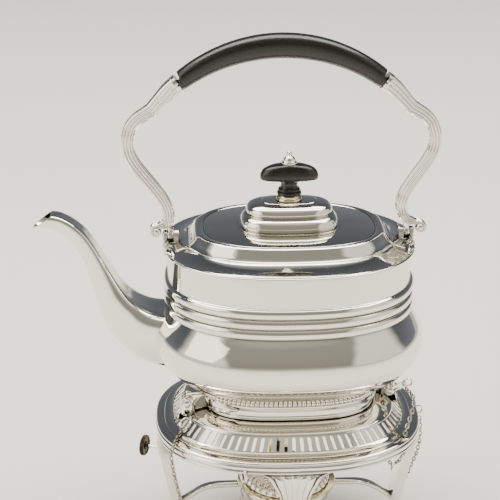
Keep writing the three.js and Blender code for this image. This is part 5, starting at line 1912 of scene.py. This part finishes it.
@dataclass
class HingePin:
    """A loose pin with a bow-shaped thumb-piece and its ring; sizes in millimetres."""

    shop: Workshop
    side: str
    body: Body
    pivot: float
    front: float
    tip: float
    turn: float
    ring_centre: Place
    ring_radius: float
    ring_normal: Place
    radius: float = 2.0
    thick: float = 1.3
    # The thumb-piece: its reach past and behind the pivot, its half width, how lobed it is,
    # and its window's distance from the pivot, half width and half length.
    reach: float = 9.2
    behind: float = 3.4
    half: float = 3.6
    lobing: float = 0.14
    window: Place = (5.4, 1.7, 1.7)

    def build(self) -> None:
        """Makes the pin with its thumb-piece, and the ring."""
        x = self.pivot
        z = HINGE_HEIGHT
        rod = bar(Vector((x, self.front + 0.4, z)), Vector((x, self.tip - 1.0, z)), self.radius, 28, 0.2)
        point = round_rows((1.95, 0), (1.7, 0.5), (1.2, 0.9), (0.5, 1))
        along = Matrix.Translation((x, self.tip - 1.05, z)) @ Matrix.Rotation(-RIGHT_ANGLE, 4, "X")
        head = round_rows((1.2, 0), (2.4, 0.2), (2.7, 0.7), (2.2, 1.1), (1, 1.4))
        out = Matrix.Translation((x, self.front + 0.5, z)) @ Matrix.Rotation(RIGHT_ANGLE, 4, "X")
        ends = [moved(oval_skin(rows, 28), place) for rows, place in ((point, along), (head, out))]
        mesh = gathered(rod, *ends, self.thumb_piece())
        name = f"bow_headed_pin_{self.side}"
        self.shop.add(name, mesh, SILVER, self.body, [f"hinge_pin_{self.side}"], crease=42.0)
        ring = hoop(Vector(self.ring_centre), Vector(self.ring_normal), self.ring_radius, 0.7, 40, 10)
        self.shop.add(f"round_ring_{self.side}", ring, SILVER, self.body, [f"pin_ring_{self.side}"])

    def thumb_piece(self) -> BMesh:
        """Makes the plate with its window by which the pin is pulled.

        Returns:
            The plate.
        """
        x = self.pivot
        z = HINGE_HEIGHT
        distance, window_half, window_length = self.window
        outer: list[Flat] = []
        inner: list[Flat] = []
        count = 48
        straight = (self.reach + self.behind) / 2 - self.half
        for turn in even_turn(count):
            across = math.cos(turn)
            down = math.sin(turn)
            lobes = 1 + self.lobing * math.cos(3 * (turn - RIGHT_ANGLE))
            centre = (self.behind - self.reach) / 2 + math.copysign(straight, down)
            outer.append((self.half * across * lobes, centre + self.half * down * lobes))
            inner.append((window_half * across, window_length * down - distance))
        place = Matrix.Translation((x, self.front, z)) @ Matrix.Rotation(self.turn, 4, "Y")
        rings = []
        # Each ring's share of the thickness and how much it is widened or narrowed.
        for ring, depth, scale in (
            (outer, 1.0, 0.96), (outer, 0.7, 1.0), (outer, 0.3, 1.0), (outer, 0.0, 0.94),
            (inner, 0.0, 1.1), (inner, 0.3, 1.0), (inner, 0.7, 1.0), (inner, 1.0, 1.1),
        ):
            middle = sum(down for _, down in ring) / count
            rings.append([
                place @ Vector((across * scale, self.thick * depth, middle + (down - middle) * scale))
                for across, down in ring
            ])
        return skin(rings, joined=True)


@dataclass
class Burner:
    """The spirit lamp in its frame: bowl, lobed cover, wick tube, wick and winder; sizes in millimetres."""

    shop: Workshop
    cup_radius: float = 29.0
    cup_bottom: float = 12.0
    ring_top: float = 37.0
    cover_bottom: float = 38.4
    cover_top: float = 46.5
    spindle_height: float = 50.0
    spindle_offset: float = 6.4
    spindle_length: float = 105.58
    wheel_thick: float = 3.0
    braid_depth: float = 0.1
    arm_half_width: float = 3.5
    arm_half_depth: float = 1.5
    # The way along the spindle and the way aside from it.
    along: Place = (-0.93298, 0.35993, 0)
    side: Place = (-0.35993, -0.93298, 0)
    # Rows of the winder's wheel: radius, distance and depth of the knurls.
    wheel_rows: tuple[Place, ...] = (
        (1.2, 0, 0), (2.6, -0.4, 0), (2.9, 0, 0), (3, 0.5, 0), (5.6, 0.5, 0), (6.2, 0, 0), (7, 0, 0),
        (7.45, 0.35, 0.15), (7.45, 2.65, 0.15), (7, 3, 0), (6.2, 3, 0), (5.6, 2.5, 0), (3, 2.5, 0),
        (2.9, 3, 0), (2.4, 3.6, 0), (1.2, 3.7, 0),
    )

    def build(self) -> None:
        """Makes every piece of the burner and its frame."""
        self.frame()
        self.bowl()
        self.cover()
        self.tube()
        self.wick()
        self.winder()

    def on_spindle(self, distance: float) -> Vector:
        """Gives a place on the spindle's axis."""
        middle = Vector((0, 0, self.spindle_height)) + Vector(self.side) * self.spindle_offset
        return middle + Vector(self.along) * distance

    def frame(self) -> None:
        """Makes the ring for the bowl and the curved arms that reach it from the legs."""
        profile = joined_runs(
            round_rows((29.3, 32), (31.8, 32)),
            curved(round_rows((32.6, 32.2), (33.2, 33.4), (33.2, 35.6), (32.6, 36.8)), 3),
            round_rows((31.8, self.ring_top), (29.3, self.ring_top)),
        )
        parts = [oval_skin(profile, 96, joined=True)]
        inner_end = (31, 34.6)
        rows = ((77.9, 21.7), (74, 23), (68, 27), (60, 32), (52, 34.2), (44, 34.6), (36, 34.6))
        section = [
            (
                self.arm_half_width * math.copysign(abs(math.cos(a)) ** 0.5, math.cos(a)),
                self.arm_half_depth * math.copysign(abs(math.sin(a)) ** 0.5, math.sin(a)),
            )
            for a in even_turn(24)
        ]
        for side in Side:
            shift = 0.0 if side.is_end() else OVAL_DIFFERENCE
            ends = [(reach - shift, z) for reach, z in rows if reach - shift > inner_end[0]] + [inner_end]
            points = [Vector((reach, 0, z)) for reach, z in curved(ends, 4)]
            turn = Matrix.Rotation(side.value, 3, "Z")
            path = [turn @ point for point in points]
            parts.append(rail(path, lambda share: section, turn @ Vector((0, 1, 0))))
        self.shop.add("burner_ring_and_arms", gathered(*parts), SILVER, Body.STAND, ["burner_frame"])

    def bowl(self) -> None:
        """Skins the round bowl with its gilt-washed dish edge."""
        outside = joined_runs(
            round_rows((0.6, self.cup_bottom)),
            curved(round_rows(
                (10, self.cup_bottom), (14, 12.3), (19.5, 14.2), (24.4, 18.6), (27.4, 23.8), (28.8, 30),
                (self.cup_radius, self.ring_top),
            ), 4),
            round_rows((34.4, self.ring_top)),
            curved(round_rows((34.6, 37.1), (34.9, 37.7), (34.5, 38.4)), 3),
            round_rows((30.2, 38.4)),
            curved(round_rows(
                (27.8, 36.4), (27.6, 31), (26.2, 24.4), (22, 18.4), (13.6, 13.8), (0.6, 13.4),
            ), 3),
        )
        self.shop.add("lamp_bowl", oval_skin(outside, 96), GILT, Body.BURNER, ["reservoir"])

    def cover(self) -> None:
        """Skins the domed cover with its ring of lobes."""
        profile = curved([
            (30.0, self.cover_bottom, 0.0), (30.3, 39.6, 0.6), (29.4, 41.6, 1), (27, 43.6, 1),
            (23.4, 45, 0.7), (20, 45.7, 0),
        ], 4)
        lobes = 30
        steps = 8
        rings = []
        for radius, height, depth in profile:
            ring = []
            for index, turn in enumerate(even_turn(lobes * steps)):
                swell = abs(math.sin(math.pi * index / steps)) ** 0.6
                outward = depth * (swell - 0.8)
                out = radius + outward
                ring.append(Vector((out * math.cos(turn), out * math.sin(turn), height + outward * 0.4)))
            rings.append(ring)
        angles = even_turn(lobes * steps)
        inner = joined_runs(
            curved(round_rows((19, 45.6), (15, 46.2), (11.6, 46.5)), 2),
            round_rows((7.4, self.cover_top), (7.4, 45.3), (12, 45.3), (19.6, 44.4), (26, 41.8)),
            round_rows((28.6, self.cover_bottom)),
        )
        rings += [oval_ring(station, angles) for station in inner]
        mesh = skin(rings, joined=True)
        self.shop.add("lobed_lamp_cover", mesh, SILVER, Body.BURNER, ["burner_top"], crease=60.0)

    def tube(self) -> None:
        """Makes the wick tube on its collar, with the housing of the spindle."""
        top = self.cover_top
        profile = joined_runs(
            round_rows((4.5, 42), (6.9, 42), (6.9, top), (9.4, top)),
            curved(round_rows((9.6, top + 0.3), (9.4, top + 1.0), (7.4, top + 1.6), (6.6, top + 3.0)), 3),
            round_rows((6.6, top + 9.8)),
            curved(round_rows((6.7, top + 10.0), (7.0, top + 10.6), (6.7, top + 11.4)), 3),
            round_rows((6.2, top + 11.5), (4.5, top + 11.5)),
        )
        tube = oval_skin(profile, 48, joined=True)
        housing = bar(self.on_spindle(-3.6), self.on_spindle(5.4), 3.2, 28, 0.5)
        gland = bar(self.on_spindle(4.8), self.on_spindle(6.6), 2.4, 28, 0.4)
        self.shop.add("wick_holder", gathered(tube, housing, gland), SILVER, Body.BURNER, ["wick_tube"])

    def wick(self) -> None:
        """Skins the braided wick with slightly frayed top."""
        rows = joined_runs(
            round_rows((3.9, 22), (4.15, 22.5), (4.2, 40), (4.2, 59.2)),
            curved(round_rows((4.1, 59.5), (3.7, 60.1), (3, 60.4), (1.2, 60.2)), 3),
        )
        fine = joined_runs(curved(rows, 6))
        rings = []
        for station in fine:
            radius, _, height, _ = station
            ring = []
            for turn in even_turn(48):
                braid = math.sin(6 * turn + height * 2.1) * math.sin(6 * turn - height * 2.1)
                out = radius + self.braid_depth * (braid - 1)
                ring.append(Vector((out * math.cos(turn), out * math.sin(turn), height)))
            rings.append(ring)
        self.shop.add("braided_wick", skin(rings), COTTON, Body.WICK, ["wick"])

    def winder(self) -> None:
        """Makes the spindle with its pinion, and the knurled wheel."""
        spindle = bar(self.on_spindle(-2.2), self.on_spindle(self.spindle_length + 2.2), 1.1, 20, 0.25)
        teeth = ((1.485, -2.1, 0.225), (1.65, -1.9, 0.25), (1.65, 1.9, 0.25), (1.485, 2.1, 0.225))
        mesh = gathered(spindle, self.toothed(teeth, 0.0, 10, 8))
        self.shop.add("spindle_and_pinion", mesh, SILVER, Body.WINDER, ["winder_spindle"])
        wheel = self.toothed(self.wheel_rows, self.spindle_length - self.wheel_thick / 2, 48, 6)
        self.shop.add("knurled_wheel", wheel, BLACKENED, Body.WINDER, ["winder_wheel"], crease=30.0)

    def toothed(self, rows: Sequence[Place], start: float, teeth: int, steps: int) -> BMesh:
        """Turns a profile with teeth about the spindle.

        Args:
            rows: Radius, distance past the start and depth of the teeth.
            start: Where the profile starts on the spindle.
            teeth: How many teeth stand round it.
            steps: Points to each tooth.

        Returns:
            The closed piece.
        """
        side = Vector(self.side)
        rings = []
        for radius, distance, depth in rows:
            middle = self.on_spindle(start + distance)
            ring = []
            for turn in even_turn(teeth * steps):
                arm = Vector((0, 0, math.cos(turn))) - side * math.sin(turn)
                ring.append(middle + arm * (radius + depth * math.cos(teeth * turn)))
            rings.append(ring)
        return skin(rings)


# The studio


@dataclass(frozen=True)
class Studio:
    """A pale table, soft light and the camera of the photograph; sizes in metres."""

    eye: Place = (-0.04194, -0.93064, 0.57026)
    forward: Place = (0.04886, 0.93230, -0.35837)
    lens_mm: float = 107.28
    sensor_mm: float = 36.0
    sight: Flat = (0.05, 40.0)
    floor_half: float = 6.0
    floor_colour: str = "#E0DCD5"
    room_strength: float = 1.3
    # Each lamp's name, place, target, two sides, power in watts and colour.
    lamps: tuple[tuple[str, Place, Place, float, float, float, str], ...] = (
        ("overhead", (0.0, 0.35, 2.4), (0.0, 0.0, 0.0), 3.8, 1.7, 175.0, "#FFFCF6"),
        ("window_left", (-1.9, -0.9, 1.2), (0.0, 0.0, 0.15), 1.6, 1.6, 14.0, "#FFF8EC"),
    )
    # Colours by height, from straight down to straight up, before, beside and behind the table.
    front_stops: Stops = (
        (0.0, "#E4DDD1"), (0.5, "#A9A79C"), (0.54, "#878679"), (0.86, "#919087"), (0.95, "#DDDACF"),
        (1.0, "#F4F2EA"),
    )
    side_stops: Stops = ((0.0, "#E4DDD1"), (0.5, "#EEEADF"), (1.0, "#F4F2EA"))
    back_stops: Stops = (
        (0.0, "#E0DDD8"), (0.5, "#C8C9CA"), (0.53, "#6F7379"), (0.68, "#585C62"), (0.86, "#44484E"),
        (0.93, "#DDDCD7"), (1.0, "#F4F2EA"),
    )

    def build(self) -> None:
        """Makes the floor, the sky, the lamps and the camera."""
        self.floor()
        self.sky()
        for name, place, target, width, depth, power, colour in self.lamps:
            self.lamp(name, Vector(place), Vector(target), (width, depth), power, colour)
        self.camera()

    def floor(self) -> None:
        """Lays the pale table under everything."""
        mesh = bmesh.new()
        bmesh.ops.create_grid(mesh, x_segments=8, y_segments=8, size=self.floor_half)
        data = bpy.data.meshes.new("pale_table")
        mesh.to_mesh(data)
        mesh.free()
        material, nodes = open_material("pale_table")
        nodes.shade({
            "Base Color": linear_colour(self.floor_colour), "Roughness": 0.85, "Specular IOR Level": 0.2,
        })
        data.materials.append(material)
        table = bpy.data.objects.new("pale_table", data)
        bpy.context.scene.collection.objects.link(table)

    def sky(self) -> None:
        """Paints a room: grey before the table, bright beside and above it, dark blue-grey behind."""
        world = bpy.data.worlds.new("room")
        world.use_nodes = True
        world.node_tree.nodes.clear()
        nodes = Nodes(world.node_tree)
        spot = nodes.add("TexCoord").outputs["Generated"]
        way = nodes.add("SeparateXYZ", None, {"Vector": spot}).outputs
        height = nodes.remap(way["Z"], (-1.0, 1.0))
        front = nodes.ramp(height, self.front_stops)
        side = nodes.ramp(height, self.side_stops)
        back = nodes.ramp(height, self.back_stops)
        aside = nodes.add("Math", {"operation": "ABSOLUTE"}, {0: way["X"]}).outputs["Value"]
        near = nodes.mix(nodes.remap(aside, (0.5, 0.6), smooth=True), front, side)
        room = nodes.mix(nodes.remap(way["Y"], (-0.08, 0.16), smooth=True), near, back)
        glow = nodes.add("Background", {"Strength": self.room_strength}, {"Color": room})
        nodes.add("OutputWorld", None, {"Surface": glow.outputs["Background"]})
        bpy.context.scene.world = world

    def lamp(self, name: str, place: Vector, target: Vector, size: Flat, power: float, colour: str) -> None:
        """Hangs a soft rectangular lamp.

        Args:
            name: The lamp's name.
            place: Its middle.
            target: Where it points.
            size: Its two sides.
            power: Its power in watts.
            colour: Its sRGB colour.
        """
        data = bpy.data.lights.new(name, "AREA")
        data.shape = "RECTANGLE"
        data.size = size[0]
        data.size_y = size[1]
        data.energy = power
        data.color = linear_colour(colour)[:3]
        lamp = bpy.data.objects.new(name, data)
        turn = (target - place).to_track_quat("-Z", "Y").to_matrix().to_4x4()
        lamp.matrix_world = Matrix.Translation(place) @ turn
        bpy.context.scene.collection.objects.link(lamp)

    def camera(self) -> None:
        """Sets the camera where the photograph was taken."""
        data = bpy.data.cameras.new("photograph")
        data.lens = self.lens_mm
        data.sensor_width = self.sensor_mm
        data.clip_start, data.clip_end = self.sight
        camera = bpy.data.objects.new("photograph", data)
        turn = Vector(self.forward).to_track_quat("-Z", "Y").to_matrix().to_4x4()
        camera.matrix_world = Matrix.Translation(Vector(self.eye)) @ turn
        bpy.context.scene.collection.objects.link(camera)
        bpy.context.scene.camera = camera


LEFT_ROUTE = (
    (-74.2, -35, 95.2), (-76.6, -39.4, 94.2), (-78.2, -46, 94.2), (-79.2, -51.5, 94), (-80.8, -54, 91),
    (-80.8, -54.6, 84), (-78.6, -55, 70), (-74.8, -57, 55), (-68, -59.5, 40), (-58, -63, 31.5),
    (-48, -67.5, 33.5), (-41, -72.5, 45), (-36.8, -76.6, 60), (-35, -76.4, 70), (-34.2, -73.4, 76.5),
)
RIGHT_ROUTE = (
    (81.4, -14.6, 113.5), (83.6, -19.6, 112.4), (84.9, -24.9, 110.9), (83.5, -30.3, 106.9),
    (80.8, -35.8, 102.1), (78.1, -41.2, 98.4), (76.3, -45.6, 95.8), (76.1, -46.6, 92),
    (76.1, -46.6, 88), (76.1, -46.6, 84), (76, -45.8, 80.6), (75.5, -36, 79.6), (75, -20, 79.6),
    (75, 2, 79), (74.6, 12, 60), (74.4, 12, 45.3), (77.1, 14, 39.2), (80.3, 14, 30), (84, 13, 25),
    (88.1, 12, 30.7), (92.1, 10, 43.5), (94.2, 6, 54.3), (95.4, 5, 64.7), (95.4, 6, 75.6),
    (94.6, 6, 81.6),
)


def main() -> None:
    """Builds every sub-assembly in order, then the studio, and reports the pieces."""
    shop = Workshop()
    for assembly in (
        Kettle(shop),
        Lid(shop),
        Handle(shop),
        Stand(shop),
        Chain(shop, "left", LEFT_ROUTE),
        Chain(shop, "right", RIGHT_ROUTE),
        HingePin(
            shop, "left", Body.LEFT_PIN, -HINGE_REACH, front=-27.4, tip=-15.1, turn=0.0,
            ring_centre=(-71.2, -32.6, 100.6), ring_radius=4.5, ring_normal=(-0.9, -0.5, 1),
        ),
        HingePin(
            shop, "right", Body.RIGHT_PIN, HINGE_REACH, front=-14.8, tip=-2.2, turn=-2.1,
            ring_centre=(81.6, -15.5, 118.9), ring_radius=3.2, ring_normal=(0, 1, 0.4),
            reach=12.6, half=2.3, lobing=0.0, window=(10.4, 0.9, 1.2),
        ),
        Burner(shop),
    ):
        assembly.build()
        LOG.info("%s done, %d pieces so far", type(assembly).__name__, len(shop.made))
    Studio().build()


if __name__ == "__main__":
    logging.basicConfig(level=logging.INFO)
    main()
